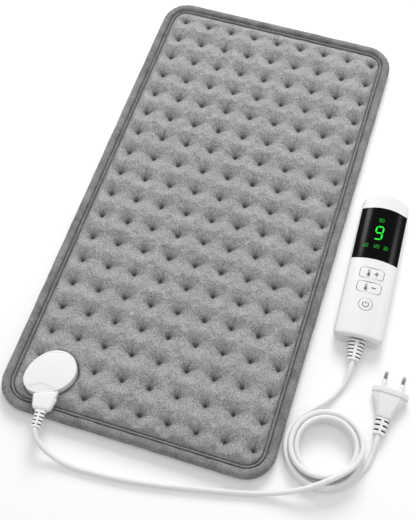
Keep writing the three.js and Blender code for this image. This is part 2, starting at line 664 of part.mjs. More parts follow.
function makeLeads(exits) {
  const leads = new THREE.Group();
  const route = (list) => list.map(([x, y, z]) => new THREE.Vector3(x, y, z));

  const padCoil = wound(padTurn, PAD_COIL_START, PAD_COIL_END);
  const padRun = [
    ...exits.connector,
    ...route([
      [-89.2, -312.6, 17.4], [-85.2, -317, 14.6], [-79, -320.8, 10.8], [-70.6, -324, 7.2],
      [-60.4, -326.6, 4.6], [-49, -328.1, 3.2], [-36, -328.5, 2.6], [-20, -327.7, 2.6],
      [2, -325.9, 2.6], [24, -323.1, 2.6], [50, -318.6, 2.6],
      [80, -312.3, 2.6], [108, -306.2, 2.6], [134, -299.8, 2.8], [156, -293.4, 5],
      [176, -286, 10], [192, -277.6, 15.4], [204.8, -268.6, 19.2],
    ]),
    ahead(padTurn, PAD_COIL_START, -CORD - FIT),
    ahead(padTurn, PAD_COIL_START, -FIT),
  ];
  place(leads, 'pad_lead_run', freeTube(padRun), WHITE_RUBBER);
  place(leads, 'pad_lead_coil', woundTube(padCoil), WHITE_RUBBER);

  const mainsCoil = wound(mainsTurn, MAINS_COIL_START, MAINS_COIL_END);
  const mainsRun = [
    ahead(mainsTurn, MAINS_COIL_END, FIT),
    ahead(mainsTurn, MAINS_COIL_END, FIT + CORD),
    ...route([[238.2, -235.4, 2.6], [240, -225.6, 3.4]]),
    ...exits.plug,
  ];
  place(leads, 'mains_lead_run', freeTube(mainsRun), WHITE_RUBBER);
  place(leads, 'mains_lead_coil', woundTube(mainsCoil), WHITE_RUBBER);

  const handsetRun = [
    ...exits.handset,
    ...route([
      [197, -148.6, 6.4], [195, -159.4, 3.6], [191, -169, 2.6], [187, -176.8, 3.2],
      [181.6, -185.2, 4.8], [174.8, -193.4, 6.6], [168.7, -200.6, 7.9],
    ]),
    ...turns(handsetTurn, HANDSET_COIL_START, HANDSET_COIL_END - END_TURN),
    ...straightEnd(handsetTurn, HANDSET_COIL_END),
  ];
  place(leads, 'handset_lead', freeTube(handsetRun), WHITE_RUBBER);

  const inner = COIL_INNER - CORD / 2 - JOINT_WALL;
  const outer = COIL_INNER + COIL_PITCH + CORD / 2 + JOINT_WALL;
  const sector = new THREE.Shape();
  sector.absarc(0, 0, outer, JOINT_FROM * TILT, JOINT_TO * TILT, false);
  sector.absarc(0, 0, inner, JOINT_TO * TILT, JOINT_FROM * TILT, true);
  const jointLow = LAYERS[1] - JOINT_HEIGHT / 2;
  const joint = roundedSlab(sector, jointLow, jointLow + JOINT_HEIGHT, JOINT_WALL, PLAIN_EDGE_STEPS);
  place(leads, 'lead_joint', joint.translate(COIL_CENTRE.x, COIL_CENTRE.y, 0), WHITE_RUBBER);

  console.log(`pad lead coil: least gap to itself ${leastGap(padCoil).toFixed(2)} mm`);
  console.log(`mains lead coil: least gap to itself ${leastGap(mainsCoil).toFixed(2)} mm`);
  return leads;
}

// Places along the handset, from its lower end
const LENS_HIGH = HANDSET_LENGTH - LENS_INSET;
const LENS_LOW = LENS_HIGH - LENS_LENGTH;
const WARMER_AT = LENS_LOW - WARMER_DROP;
const COOLER_AT = LENS_LOW - COOLER_DROP;
const POWER_AT = LENS_LOW - POWER_DROP;

// Two points that carry a cord straight out of a boot's end
function straightOut(group, x, y, z, length = CORD) {
  group.updateMatrixWorld(true);
  return [y - FIT, y - FIT - length].map((at) => new THREE.Vector3(x, at, z).applyMatrix4(group.matrixWorld));
}

// The handset's cross-section, drawn in by a wall
function handsetSection(inset) {
  const wide = HANDSET_WIDTH / 2 - inset;
  const flat = HANDSET_FLAT / 2 - inset / 2;
  const shoulder = wide - HANDSET_SHOULDER_IN;
  const shoulderAt = HANDSET_SHOULDER - inset;
  const bulge = (HANDSET_WIDEST + shoulderAt + HANDSET_SHOULDER_IN) / 2;
  const top = HANDSET_HEIGHT - inset;
  const shape = new THREE.Shape();
  shape.moveTo(-flat, inset);
  shape.lineTo(flat, inset);
  shape.quadraticCurveTo(wide, inset, wide, HANDSET_WIDEST);
  shape.quadraticCurveTo(wide, bulge, shoulder, shoulderAt);
  shape.quadraticCurveTo(0, 2 * top - shoulderAt, -shoulder, shoulderAt);
  shape.quadraticCurveTo(-wide, bulge, -wide, HANDSET_WIDEST);
  shape.quadraticCurveTo(-wide, inset, -flat, inset);
  return shape;
}

// The handset seen from above, drawn in by a wall: square low end, arched top end
function handsetPlan(inset) {
  const wide = HANDSET_WIDTH / 2 - inset;
  const low = inset;
  const high = HANDSET_LENGTH - inset;
  const corner = high - HANDSET_TOP_CORNER;
  const archEnd = wide - HANDSET_TOP_CORNER;
  const archLow = high - HANDSET_TOP_ARCH / 2;
  const shape = new THREE.Shape();
  shape.moveTo(-wide + HANDSET_LOW_CORNER, low);
  shape.lineTo(wide - HANDSET_LOW_CORNER, low);
  shape.quadraticCurveTo(wide, low, wide, low + HANDSET_LOW_CORNER);
  shape.lineTo(wide, corner);
  shape.quadraticCurveTo(wide, high - HANDSET_TOP_ARCH, archEnd, archLow);
  shape.quadraticCurveTo(0, high + HANDSET_TOP_ARCH / 2, -archEnd, archLow);
  shape.quadraticCurveTo(-wide, high - HANDSET_TOP_ARCH, -wide, corner);
  shape.lineTo(-wide, low + HANDSET_LOW_CORNER);
  shape.quadraticCurveTo(-wide, low, -wide + HANDSET_LOW_CORNER, low);
  return shape;
}

function handsetForm(inset) {
  const reach = 2 * HANDSET_LENGTH;
  const length = slab(handsetSection(inset), 0, reach)
    .rotateX(90 * TILT)
    .translate(0, (HANDSET_LENGTH + reach) / 2, 0);
  return solid(length).intersect(solid(slab(handsetPlan(inset), -HANDSET_HEIGHT, 2 * HANDSET_HEIGHT)));
}

// The lens's outline from above: straight low edge, arched top edge
function lensPlan(grow) {
  const wide = HANDSET_WIDTH;
  const shape = new THREE.Shape();
  shape.moveTo(-wide, LENS_LOW - grow);
  shape.lineTo(wide, LENS_LOW - grow);
  shape.lineTo(wide, LENS_HIGH + grow - LENS_ARCH);
  shape.quadraticCurveTo(0, LENS_HIGH + grow + 3 * LENS_ARCH, -wide, LENS_HIGH + grow - LENS_ARCH);
  return shape;
}

const KEYS = [
  { name: 'warmer', at: WARMER_AT, width: KEY_WIDTH, length: KEY_LENGTH, corner: KEY_CORNER },
  { name: 'cooler', at: COOLER_AT, width: KEY_WIDTH, length: KEY_LENGTH, corner: KEY_CORNER },
  { name: 'power', at: POWER_AT, width: POWER_SIZE, length: POWER_SIZE, corner: POWER_SIZE / 2 },
];

function keyOutline({ width, length, corner }, grow) {
  return roundedRect(width + 2 * grow, length + 2 * grow, Math.min(corner, length / 2 - FIT) + grow);
}

function makeHandset() {
  const handset = new THREE.Group();
  handset.position.set(PAD_WIDTH / 2 + HANDSET_X, HANDSET_Y, 0);
  handset.rotation.z = HANDSET_TURN * TILT;
  const sky = 2 * HANDSET_HEIGHT;
  const outer = handsetForm(0);
  const shell = outer.subtract(handsetForm(SHELL_WALL));
  const reach = 3 * HANDSET_LENGTH;
  const above = (level) => solid(block(reach, reach, level, sky));
  const below = (level) => solid(block(reach, reach, -sky, level));
  const boardTop = BOARD_HEIGHT + BOARD_THICKNESS;

  // Shells with screw bosses, and posts under the board
  let front = shell.intersect(above(HANDSET_WIDEST + FIT / 2));
  let back = shell.intersect(below(HANDSET_WIDEST - FIT / 2));
  const hole = SCREW_SHANK + 2 * FIT;
  const bossSize = hole + 2 * BOSS_WALL;
  const headTop = SHELL_WALL + SCREW_HEAD_HEIGHT;
  const topFill = handsetForm(SHELL_WALL / 2);
  const screwRows = [HANDSET_SCREW_INSET, HANDSET_LENGTH - HANDSET_SCREW_INSET];
  screwRows.forEach((y, i) => {
    const headHole = solid(upright(SCREW_HEAD + 2 * FIT, -sky, headTop, 0, y));
    const shankHole = solid(upright(hole, -sky, headTop + HANDSET_SCREW_LENGTH + FIT, 0, y));
    const cupSize = SCREW_HEAD + 2 * FIT + 2 * BOSS_WALL;
    const cup = solid(upright(cupSize, SHELL_WALL / 2, headTop + BOSS_WALL, 0, y));
    back = back.add(cup).subtract(headHole).subtract(shankHole);
    const boss = solid(upright(bossSize, headTop + BOSS_WALL + FIT, sky, 0, y)).intersect(topFill);
    front = front.add(boss).subtract(shankHole);
    place(handset, `handset_screw_${i + 1}`,
      screw(HANDSET_SCREW_LENGTH).translate(0, y, headTop - FIT), STEEL);
  });
  const boardLow = HANDSET_SCREW_INSET + bossSize / 2 + FIT;
  const boardHigh = LENS_HIGH - BOARD_MARGIN;
  [boardLow + POST_INSET, boardHigh - POST_INSET].forEach((y) => [-1, 1].forEach((side) => {
    const x = side * (HANDSET_FLAT / 2 - POST_INSET);
    back = back.add(solid(block(POST_SIZE, POST_SIZE, SHELL_WALL / 2, BOARD_HEIGHT - FIT, x, y)));
  }));

  // Lens, flush with the front shell and wrapped over it
  const lensBlank = outer.subtract(handsetForm(LENS_THICKNESS));
  const lens = lensBlank.intersect(solid(slab(lensPlan(0), LENS_EDGE, sky, OVAL_STEPS)));
  front = front.subtract(solid(slab(lensPlan(FIT), LENS_EDGE - FIT, sky, OVAL_STEPS)));

  // Keys, each over its switch
  const keyBlank = handsetForm(-KEY_PROUD).subtract(handsetForm(KEY_CAP));
  const switchTop = boardTop + FIT + SWITCH_HEIGHT;
  const plungerTop = switchTop + PLUNGER_PROUD;
  KEYS.forEach((key) => {
    const { name, at } = key;
    const prism = (grow) => solid(slab(keyOutline(key, grow), HANDSET_WIDEST, sky).translate(0, at, 0));
    front = front.subtract(prism(RUN));
    const stem = solid(upright(KEY_STEM, plungerTop + FIT, HANDSET_HEIGHT - KEY_CAP / 2, 0, at));
    place(handset, `${name}_key`, keyBlank.intersect(prism(0)).add(stem), WHITE_PLASTIC);
    const plungerLow = switchTop - PLUNGER_DEEP;
    const bore = solid(upright(PLUNGER_SIZE + 2 * RUN, plungerLow - PLUNGER_ROOM, sky, 0, at));
    const body = solid(block(SWITCH_SIZE, SWITCH_SIZE, boardTop + FIT, switchTop, 0, at));
    place(handset, `${name}_switch`, body.subtract(bore), BLACK_PLASTIC);
    place(handset, `${name}_plunger`, upright(PLUNGER_SIZE, plungerLow, plungerTop, 0, at), WHITE_RUBBER);
  });
  place(handset, 'handset_front_shell', front, WHITE_PLASTIC);
  place(handset, 'handset_back_shell', back, WHITE_PLASTIC);
  place(handset, 'display_lens', lens, BLACK_GLOSS);

  // Board and what is soldered to it
  const boardMiddle = (boardLow + boardHigh) / 2;
  place(handset, 'control_board',
    block(BOARD_WIDTH, boardHigh - boardLow, BOARD_HEIGHT, boardTop, 0, boardMiddle), BOARD_GREEN);
  const onBoard = boardTop + FIT;
  const displayAt = (LENS_LOW + LENS_HIGH) / 2;
  place(handset, 'display_module',
    block(DISPLAY_WIDTH, DISPLAY_LENGTH, onBoard, onBoard + DISPLAY_THICKNESS, 0, displayAt),
    BLACK_PLASTIC);
  const side = BOARD_WIDTH / 4 + SWITCH_SIZE / 4;
  place(handset, 'control_chip',
    block(CHIP_SIZE, CHIP_SIZE, onBoard, onBoard + CHIP_HEIGHT, -side, WARMER_AT), BLACK_PLASTIC);
  place(handset, 'power_triac',
    block(TRIAC_WIDTH, TRIAC_LENGTH, onBoard, onBoard + TRIAC_HEIGHT, side, WARMER_AT), BLACK_PLASTIC);
  const filmAt = COOLER_AT - FILM_LENGTH / 4;
  place(handset, 'film_capacitor',
    block(FILM_WIDTH, FILM_LENGTH, onBoard, onBoard + FILM_HEIGHT, -side, filmAt), WIRE_RED);
  const can = new THREE.CylinderGeometry(CAN_SIZE / 2, CAN_SIZE / 2, CAN_LENGTH, CYLINDER_SIDES);
  place(handset, 'supply_capacitor', can.translate(side, filmAt, onBoard + CAN_SIZE / 2), BLACK_PLASTIC);
  const fuse = new THREE.CylinderGeometry(FUSE_SIZE / 2, FUSE_SIZE / 2, FUSE_LENGTH, PIN_SIDES);
  const fuseAt = WARMER_AT + TRIAC_LENGTH / 2 + FIT + FUSE_LENGTH / 2;
  place(handset, 'mains_fuse', fuse.translate(side, fuseAt, onBoard + FUSE_SIZE / 2), GLASS);

  const boot = taperedBoot(HANDSET_BOOT_LENGTH, HANDSET_BOOT_WIDTH, HANDSET_BOOT_HEIGHT, HANDSET_BOOT_TIP);
  place(handset, 'handset_boot', boot.translate(0, -FIT, HANDSET_BOOT_RISE), WHITE_RUBBER);
  return handset;
}

// The plug's frame has its origin at the middle of its pin face, on the floor
function makePlug() {
  const plug = new THREE.Group();
  plug.position.set(PAD_WIDTH / 2 + PLUG_X, PLUG_Y, 0);
  plug.rotation.z = PLUG_TURN * TILT;
  const level = PLUG_HEIGHT / 2;
  const wide = PLUG_WIDTH / 2;
  const neck = PLUG_NECK / 2;
  const waist = -PLUG_FLANGE - (PLUG_BODY - PLUG_FLANGE) / 2;
  const outline = new THREE.Shape();
  outline.moveTo(wide, 0);
  outline.lineTo(-wide, 0);
  outline.lineTo(-wide, -PLUG_FLANGE);
  outline.quadraticCurveTo(-neck - PLUG_ROUND, waist, -neck, -PLUG_BODY);
  outline.lineTo(neck, -PLUG_BODY);
  outline.quadraticCurveTo(neck + PLUG_ROUND, waist, wide, -PLUG_FLANGE);
  outline.lineTo(wide, 0);
  place(plug, 'mains_plug_body', roundedSlab(outline, 0, PLUG_HEIGHT, PLUG_ROUND), WHITE_PLASTIC);
  [['left', -1], ['right', 1]].forEach(([side, way]) => {
    const pin = [
      new THREE.Vector2(0, FIT),
      new THREE.Vector2(PIN_CORE / 2, FIT),
      new THREE.Vector2(PIN_CORE / 2, SLEEVE_LENGTH),
      new THREE.Vector2(PIN_SIZE / 2, SLEEVE_LENGTH),
      new THREE.Vector2(PIN_SIZE / 2, PIN_LENGTH - PIN_SIZE / 4),
      new THREE.Vector2(PIN_SIZE / 4, PIN_LENGTH),
      new THREE.Vector2(0, PIN_LENGTH),
    ];
    const x = way * PIN_SPACING / 2;
    const turned = (profile) => new THREE.LatheGeometry(profile, PIN_SIDES).translate(x, 0, level);
    place(plug, `plug_pin_${side}`, turned(pin), STEEL);
    const bore = PIN_CORE / 2 + FIT;
    const sleeve = [
      new THREE.Vector2(bore, FIT),
      new THREE.Vector2(PIN_SIZE / 2, FIT),
      new THREE.Vector2(PIN_SIZE / 2, SLEEVE_LENGTH - FIT),
      new THREE.Vector2(bore, SLEEVE_LENGTH - FIT),
      new THREE.Vector2(bore, FIT),
    ];
    place(plug, `pin_sleeve_${side}`, turned(sleeve), WHITE_PLASTIC);
  });
  const boot = taperedBoot(PLUG_BOOT_LENGTH, PLUG_NECK, PLUG_BOOT_HEIGHT, PLUG_BOOT_TIP);
  place(plug, 'plug_boot', boot.translate(0, -PLUG_BODY - FIT, level), WHITE_RUBBER);
  return plug;
}

const connector = makeConnector();
const handset = makeHandset();
const plug = makePlug();
const leads = makeLeads({
  connector: straightOut(connector, 0, CONNECTOR_EXIT, 0, CORD / 3),
  handset: straightOut(handset, 0, -FIT - HANDSET_BOOT_LENGTH, HANDSET_BOOT_RISE),
  plug: straightOut(plug, 0, -PLUG_BODY - FIT - PLUG_BOOT_LENGTH, PLUG_HEIGHT / 2).reverse(),
});

const heatingPad = new THREE.Group();
heatingPad.add(makePad(), makePod(), connector, handset, plug, leads);
export default heatingPad;
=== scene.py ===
import math

import bmesh
import bpy
import numpy as np
from mathutils import Matrix, Vector, noise


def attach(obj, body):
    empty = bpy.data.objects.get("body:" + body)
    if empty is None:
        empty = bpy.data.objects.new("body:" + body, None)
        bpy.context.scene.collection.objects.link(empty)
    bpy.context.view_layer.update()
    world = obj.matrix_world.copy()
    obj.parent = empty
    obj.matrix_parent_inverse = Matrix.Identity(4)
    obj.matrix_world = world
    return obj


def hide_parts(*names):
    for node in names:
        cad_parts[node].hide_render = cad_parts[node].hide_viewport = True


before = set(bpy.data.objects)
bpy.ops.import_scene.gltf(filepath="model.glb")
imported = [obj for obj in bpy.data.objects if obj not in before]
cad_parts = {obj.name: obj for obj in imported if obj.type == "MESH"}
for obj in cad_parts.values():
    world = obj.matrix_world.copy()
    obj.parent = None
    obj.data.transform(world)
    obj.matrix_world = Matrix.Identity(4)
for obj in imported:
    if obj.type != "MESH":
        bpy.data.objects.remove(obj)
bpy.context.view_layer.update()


# The view and the studio. The camera looks down at the pad from its near right end.
# A pale floor lies under everything, with one soft lamp from behind on the left.
MM = 0.001
EYE = (0.17825, -0.54835, 0.94409)
RIGHT = (0.95221, 0.30532, -0.00860)
UP = (-0.26405, 0.83699, 0.47929)
BACK = (0.15354, -0.45412, 0.87761)
LENS_FOCUS = 66.0

scene = bpy.context.scene
scene.view_settings.view_transform = "Standard"
camera = bpy.data.objects.new("camera", bpy.data.cameras.new("camera"))
camera.data.lens = LENS_FOCUS
camera.data.clip_start = 0.01
camera.data.clip_end = 30
camera.matrix_world = Matrix((
    (RIGHT[0], UP[0], BACK[0], EYE[0]),
    (RIGHT[1], UP[1], BACK[1], EYE[1]),
    (RIGHT[2], UP[2], BACK[2], EYE[2]),
    (0, 0, 0, 1),
))
scene.collection.objects.link(camera)
scene.camera = camera


def new_material(name):
    """A material, its node tree and its Principled shader."""
    material = bpy.data.materials.new(name)
    material.use_nodes = True
    return material, material.node_tree, material.node_tree.nodes["Principled BSDF"]


def set_inputs(tree, node, given):
    """Sets a node's inputs: a value goes on the socket, and another node's output is joined to it."""
    for key, value in given.items():
        if isinstance(value, bpy.types.NodeSocket):
            tree.links.new(value, node.inputs[key])
        else:
            node.inputs[key].default_value = value


def add_node(tree, kind, given=None, out=0, **settings):
    """A new node with its settings and inputs. Gives the output named, or the node where that is None."""
    node = tree.nodes.new("ShaderNode" + kind)
    for key, value in settings.items():
        setattr(node, key, value)
    set_inputs(tree, node, given or {})
    return node if out is None else node.outputs[out]


def seen_from_camera(tree):
    """Is 1 for rays from the camera and for mirror and glass rays, and 0 for light that bounces."""
    path = add_node(tree, "LightPath", out=None)
    seen = path.outputs["Is Camera Ray"]
    for ray in ("Is Glossy Ray", "Is Transmission Ray"):
        seen = add_node(tree, "Math", {0: seen, 1: path.outputs[ray]}, operation="MAXIMUM")
    return seen


def grey(level, blue=1.0):
    return (level, level, level * blue, 1)


SKY_LEVEL = 0.58
world = bpy.data.worlds.new("studio")
scene.world = world
world.use_nodes = True
tree = world.node_tree
sky = add_node(tree, "Mix", {"Factor": add_node(tree, "LightPath", out="Is Camera Ray"),
                             "A": grey(SKY_LEVEL, 1.01), "B": grey(1)}, "Result", data_type="RGBA")
set_inputs(tree, tree.nodes["Background"], {"Color": sky})

FLOOR_HALF = 4.0
FLOOR_DROP = -0.0003
FLOOR_LIFT = 0.08
floor_mesh = bpy.data.meshes.new("floor")
floor_mesh.from_pydata([(x * FLOOR_HALF, y * FLOOR_HALF, FLOOR_DROP)
                        for x, y in ((-1, -1), (1, -1), (1, 1), (-1, 1))], [], [(0, 1, 2, 3)])
floor = bpy.data.objects.new("floor", floor_mesh)
scene.collection.objects.link(floor)
floor_paint, tree, shader = new_material("studio_floor")
floor_glow = add_node(tree, "Mix", {"Factor": seen_from_camera(tree), "A": grey(0), "B": grey(FLOOR_LIFT)},
                      "Result", data_type="RGBA")
set_inputs(tree, shader, {"Emission Color": floor_glow, "Emission Strength": 1.0, "Specular IOR Level": 0.0,
                          "Base Color": (0.89, 0.89, 0.892, 1), "Roughness": 0.9})
floor_mesh.materials.append(floor_paint)


def soft_lamp(name, place, aim, size, watts, shine):
    lamp = bpy.data.objects.new(name, bpy.data.lights.new(name, "AREA"))
    lamp.data.shape = "DISK"
    lamp.data.size = size
    lamp.data.energy = watts
    lamp.visible_glossy = shine
    lamp.visible_diffuse = not shine
    lamp.location = place
    lamp.rotation_mode = "QUATERNION"
    lamp.rotation_quaternion = (Vector(aim) - Vector(place)).to_track_quat("-Z", "Y")
    scene.collection.objects.link(lamp)


soft_lamp("key_lamp", (-0.2, 1.85, 1.52), (0.04, -0.02, 0), 1.3, 42, False)
soft_lamp("top_lamp", (0.05, -0.1, 2.6), (0.05, -0.05, 0), 1.8, 8, False)
soft_lamp("left_glow", (-1.05, 1.15, 1.35), (0.19, 0.0, 0), 0.35, 4.6, True)
soft_lamp("right_glow", (1.55, 1.15, 1.35), (0.19, 0.0, 0), 0.35, 2.4, True)


# The leads: round white cord with a soft plastic jacket. One runs from the connector to the coil,
# one from the handset to the coil and one from the coil to the plug. All meet in a moulded joint
# that lies between the turns of the coil.
CORD = 5.2
JACKET = 5.7
CORD_GAP = 0.55
JOIN_GAP = 0.3
COIL_CENTRE = (194.2, -234.2)
COIL_INNER = 30.5
COIL_CROSSING = 2.5
MAINS_LOOSE = 10.5
HANDSET_LOOSE = 4.75
JOINT_LENGTH = 26.0
COIL_PITCH = CORD + CORD_GAP
LAYERS = [CORD / 2 + layer * COIL_PITCH for layer in range(4)]
JOINT_HALF = math.degrees(JOINT_LENGTH / 2 / (COIL_INNER + COIL_PITCH / 2))
JOINT_FROM = 45 - JOINT_HALF
JOINT_TO = 45 + JOINT_HALF
FACE_GAP = math.degrees(JOIN_GAP / COIL_INNER)
END_TURN = math.degrees(2 * CORD / COIL_INNER)
TURN_STEP = 12


def heading(turn):
    """Cosine and sine of a turn in degrees."""
    return math.cos(math.radians(turn)), math.sin(math.radians(turn))


def coil_point(turn, radius, level):
    c, s = heading(turn)
    return (COIL_CENTRE[0] + radius * c, COIL_CENTRE[1] + radius * s, level)


PAD_COIL = (-50.0, JOINT_FROM + 720 - FACE_GAP)
MAINS_COIL = (JOINT_TO + FACE_GAP, 700.0)
HANDSET_COIL = (140.0, JOINT_FROM + 360 - FACE_GAP)


def eased(turn, start, end):
    t = min(max((turn - start) / (end - start), 0), 1)
    return t * t * (3 - 2 * t)


def pad_turn(turn):
    out = COIL_CROSSING + (COIL_PITCH - COIL_CROSSING) * eased(turn, -40, 20)
    radius = COIL_INNER + out * (1 - eased(turn, 210, 300))
    sunk = eased(turn, 0, 80) + eased(turn, 470, 630)
    return coil_point(turn, radius, LAYERS[3] - sunk * COIL_PITCH)


def mains_turn(turn):
    sunk = min(max((turn - MAINS_COIL[0] - END_TURN) / (180 - END_TURN), 0), 1)
    radius = COIL_INNER + MAINS_LOOSE * eased(turn, 430, 560)
    return coil_point(turn, radius, LAYERS[1] - sunk * COIL_PITCH)


def handset_turn(turn):
    radius = COIL_INNER + COIL_PITCH + HANDSET_LOOSE * eased(HANDSET_COIL[1] - turn, 0, 110)
    return coil_point(turn, radius, LAYERS[1])


def wound(point_at, start, end):
    count = math.ceil((end - start) / TURN_STEP)
    return [point_at(start + (end - start) * i / count) for i in range(count + 1)]


def eased_line(points, step):
    """A smooth line through the points, with even small steps."""
    p = np.array(points, float)
    p = np.vstack([2 * p[0] - p[1], p, 2 * p[-1] - p[-2]])
    made = []
    for a, b, c, d in zip(p[:-3], p[1:-2], p[2:-1], p[3:]):
        t0 = 0.0
        t1 = t0 + math.sqrt(np.linalg.norm(b - a))
        t2 = t1 + math.sqrt(np.linalg.norm(c - b))
        t3 = t2 + math.sqrt(np.linalg.norm(d - c))
        for t in np.linspace(t1, t2, max(3, int(np.linalg.norm(c - b) / step) + 1), endpoint=False):
            ab = (a * (t1 - t) + b * (t - t0)) / (t1 - t0)
            bc = (b * (t2 - t) + c * (t - t1)) / (t2 - t1)
            cd = (c * (t3 - t) + d * (t - t2)) / (t3 - t2)
            abc = (ab * (t2 - t) + bc * (t - t0)) / (t2 - t0)
            bcd = (bc * (t3 - t) + cd * (t - t1)) / (t3 - t1)
            made.append((abc * (t2 - t) + bcd * (t - t1)) / (t2 - t1))
    return np.array(made + [p[-2]])


def node_group(name, inputs, outputs):
    """An empty node group with its sockets, the outputs of its input node and its output node."""
    group = bpy.data.node_groups.new(name, "ShaderNodeTree")
    for socket, kind, value in inputs:
        made = group.interface.new_socket(socket, in_out="INPUT", socket_type="NodeSocket" + kind)
        made.default_value = value
    for socket, kind in outputs:
        group.interface.new_socket(socket, in_out="OUTPUT", socket_type="NodeSocket" + kind)
    return group, group.nodes.new("NodeGroupInput").outputs, group.nodes.new("NodeGroupOutput")


def moulded_surface():
    """Moulded plastic: a faint cloudy tint, a little change of gloss and a fine skin."""
    group, given, made = node_group(
        "moulded_surface",
        (("Color", "Color", grey(0.8)), ("Roughness", "Float", 0.4), ("Skin", "Float", 0.1)),
        (("Color", "Color"), ("Roughness", "Float"), ("Normal", "Vector")))
    place = add_node(group, "TexCoord", out="Object")
    cloud = add_node(group, "TexNoise", {"Vector": place, "Scale": 55, "Detail": 3})
    skin = add_node(group, "TexNoise", {"Vector": place, "Scale": 1800, "Detail": 2})
    shade = add_node(group, "MapRange", {"Value": cloud, "To Min": 0.975, "To Max": 1.02})
    spread = add_node(group, "MapRange", {"Value": cloud, "To Min": 0.85, "To Max": 1.15})
    set_inputs(group, made, {
        "Color": add_node(group, "VectorMath", {0: given["Color"], "Scale": shade}, operation="SCALE"),
        "Roughness": add_node(group, "Math", {0: given["Roughness"], 1: spread}, operation="MULTIPLY"),
        "Normal": add_node(group, "Bump", {"Strength": given["Skin"], "Distance": 0.0001, "Height": skin})})
    return group


MOULDED = moulded_surface()


def moulded(name, color, roughness, skin=0.1, specular=0.5):
    material, tree, shader = new_material(name)
    made = add_node(tree, "Group", {"Color": (*color, 1), "Roughness": roughness, "Skin": skin}, None,
                    node_tree=MOULDED).outputs
    set_inputs(tree, shader, {"Base Color": made["Color"], "Roughness": made["Roughness"],
                              "Normal": made["Normal"], "Specular IOR Level": specular})
    return material


CORD_JACKET = moulded("cord_jacket", (0.84, 0.84, 0.845), 0.42, 0.15)
LINE_STEP = 1.2
EASING_PASSES = 20


def lead(name, points, replaced):
    """A cord along the points, with its tightest bends eased and its jacket resting on the floor."""
    line = eased_line(points, LINE_STEP)
    for _ in range(EASING_PASSES):
        line[2:-2] = (line[1:-3] + 2 * line[2:-2] + line[3:-1]) / 4
    line[:, 2] += (JACKET - CORD) / 2
    curve = bpy.data.curves.new(name, "CURVE")
    curve.dimensions = "3D"
    curve.bevel_depth = JACKET / 2 * MM
    curve.bevel_resolution = 5
    curve.use_fill_caps = True
    spline = curve.splines.new("POLY")
    spline.points.add(len(line) - 1)
    spline.points.foreach_set("co", np.column_stack([line * MM, np.ones(len(line))]).ravel())
    spline.use_smooth = True
    cord = bpy.data.objects.new(name, curve)
    scene.collection.objects.link(cord)
    curve.materials.append(CORD_JACKET)
    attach(cord, "lead_set")
    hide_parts(*replaced)


def placed(points, origin, turn):
    """Points of a piece's own frame, turned about the upright axis and moved into the row frame."""
    p = np.array(points, float).reshape(-1, 3)
    c, s = heading(turn)
    return np.column_stack([p[:, 0] * c - p[:, 1] * s, p[:, 0] * s + p[:, 1] * c, p[:, 2]]) + origin


CONNECTOR_FRAME = ((-96.508, -246.126, 18.3), 5.0)
HANDSET_FRAME = ((196.2, -111.0, 0.0), 2.4)
PLUG_FRAME = ((243.5, -153.5, 0.0), -2.6)
CONNECTOR_EXIT = -59.994
HANDSET_EXIT = -23.3
PLUG_EXIT = -51.3


def straight_out(frame_of, y, z, length=CORD):
    return placed([(0, y - JOIN_GAP, z), (0, y - JOIN_GAP - length, z)], *frame_of).tolist()


lead("pad_lead", straight_out(CONNECTOR_FRAME, CONNECTOR_EXIT, 0, CORD / 3) + [
    (-89.2, -312.6, 17.4), (-85.2, -317, 14.6), (-79, -320.8, 10.8), (-70.6, -324, 7.2), (-60.4, -326.6, 4.6),
    (-49, -328.1, 3.2), (-36, -328.5, 2.6), (-20, -327.7, 2.6), (2, -325.9, 2.6), (24, -323.1, 2.6),
    (50, -318.6, 2.6), (80, -312.3, 2.6), (108, -306.2, 2.6), (134, -299.8, 2.8), (156, -293.4, 5),
    (176, -286, 10), (192, -277.6, 15.4), (204.8, -268.6, 19.2),
] + wound(pad_turn, *PAD_COIL), ("pad_lead_run", "pad_lead_coil"))

lead("handset_cord", straight_out(HANDSET_FRAME, HANDSET_EXIT, 9.0) + [
    (197, -148.6, 6.4), (195, -159.4, 3.6), (191, -169, 2.6), (187, -176.8, 3.2), (181.6, -185.2, 4.8),
    (174.8, -193.4, 6.6), (168.7, -200.6, 7.9),
] + wound(handset_turn, *HANDSET_COIL), ("handset_lead",))

mains_line = wound(mains_turn, *MAINS_COIL) + [
    (238.2, -235.4, 2.6), (240, -225.6, 3.4),
] + straight_out(PLUG_FRAME, PLUG_EXIT, 6.85)[::-1]


# The quilted upper cover: short-pile plush sewn down to the wadding at a square grid of tufts, so
# that it swells between them. It is pinned at the tufts, the seam and under the pod, and blown up.
PAD_HALF = (149.0, 290.0)
PAD_CORNER = 32.0
FIELD_INSET = 14.2
FIELD_HALF = (PAD_HALF[0] - FIELD_INSET, PAD_HALF[1] - FIELD_INSET)
FIELD_CORNER = PAD_CORNER - FIELD_INSET
TUFT_PITCH = 30.5
TUFT_COUNT = (9, 18)
TUFT_SHIFT = (3.3, -0.8)
TUFT_LEVEL = 9.9
CROWN_LEVEL = 16.7
TUFT_REACH = 18.2
SEAM_LEVEL = 8.2
COVER_LOW = 5.6
CELL_STEPS = 12
EDGE_STEPS = 7
POD_CENTRE = (-98.5, -246.3)
POD_TURN = 46.0
POD_HALF = (27.75, 22.2)
POD_EGG = 0.074
POD_NOSE = 0.035
POD_MEAN = 24.0
POD_SEAT = 7.4
POD_SLOPE = 3.0
POD_GAP, POD_HOLD = 0.2, 1.2
SIDE_ROLL, FAR_ROLL, NEAR_ROLL = 10, 14, 15


def quilt_lines(half, count, shift):
    last = (count - 1) * TUFT_PITCH / 2
    inner = np.linspace(shift - last, shift + last, (count - 1) * CELL_STEPS + 1)
    left = np.linspace(-half, shift - last, EDGE_STEPS + 1)[:-1]
    right = np.linspace(shift + last, half, EDGE_STEPS + 1)[1:]
    return np.concatenate([left, inner, right])


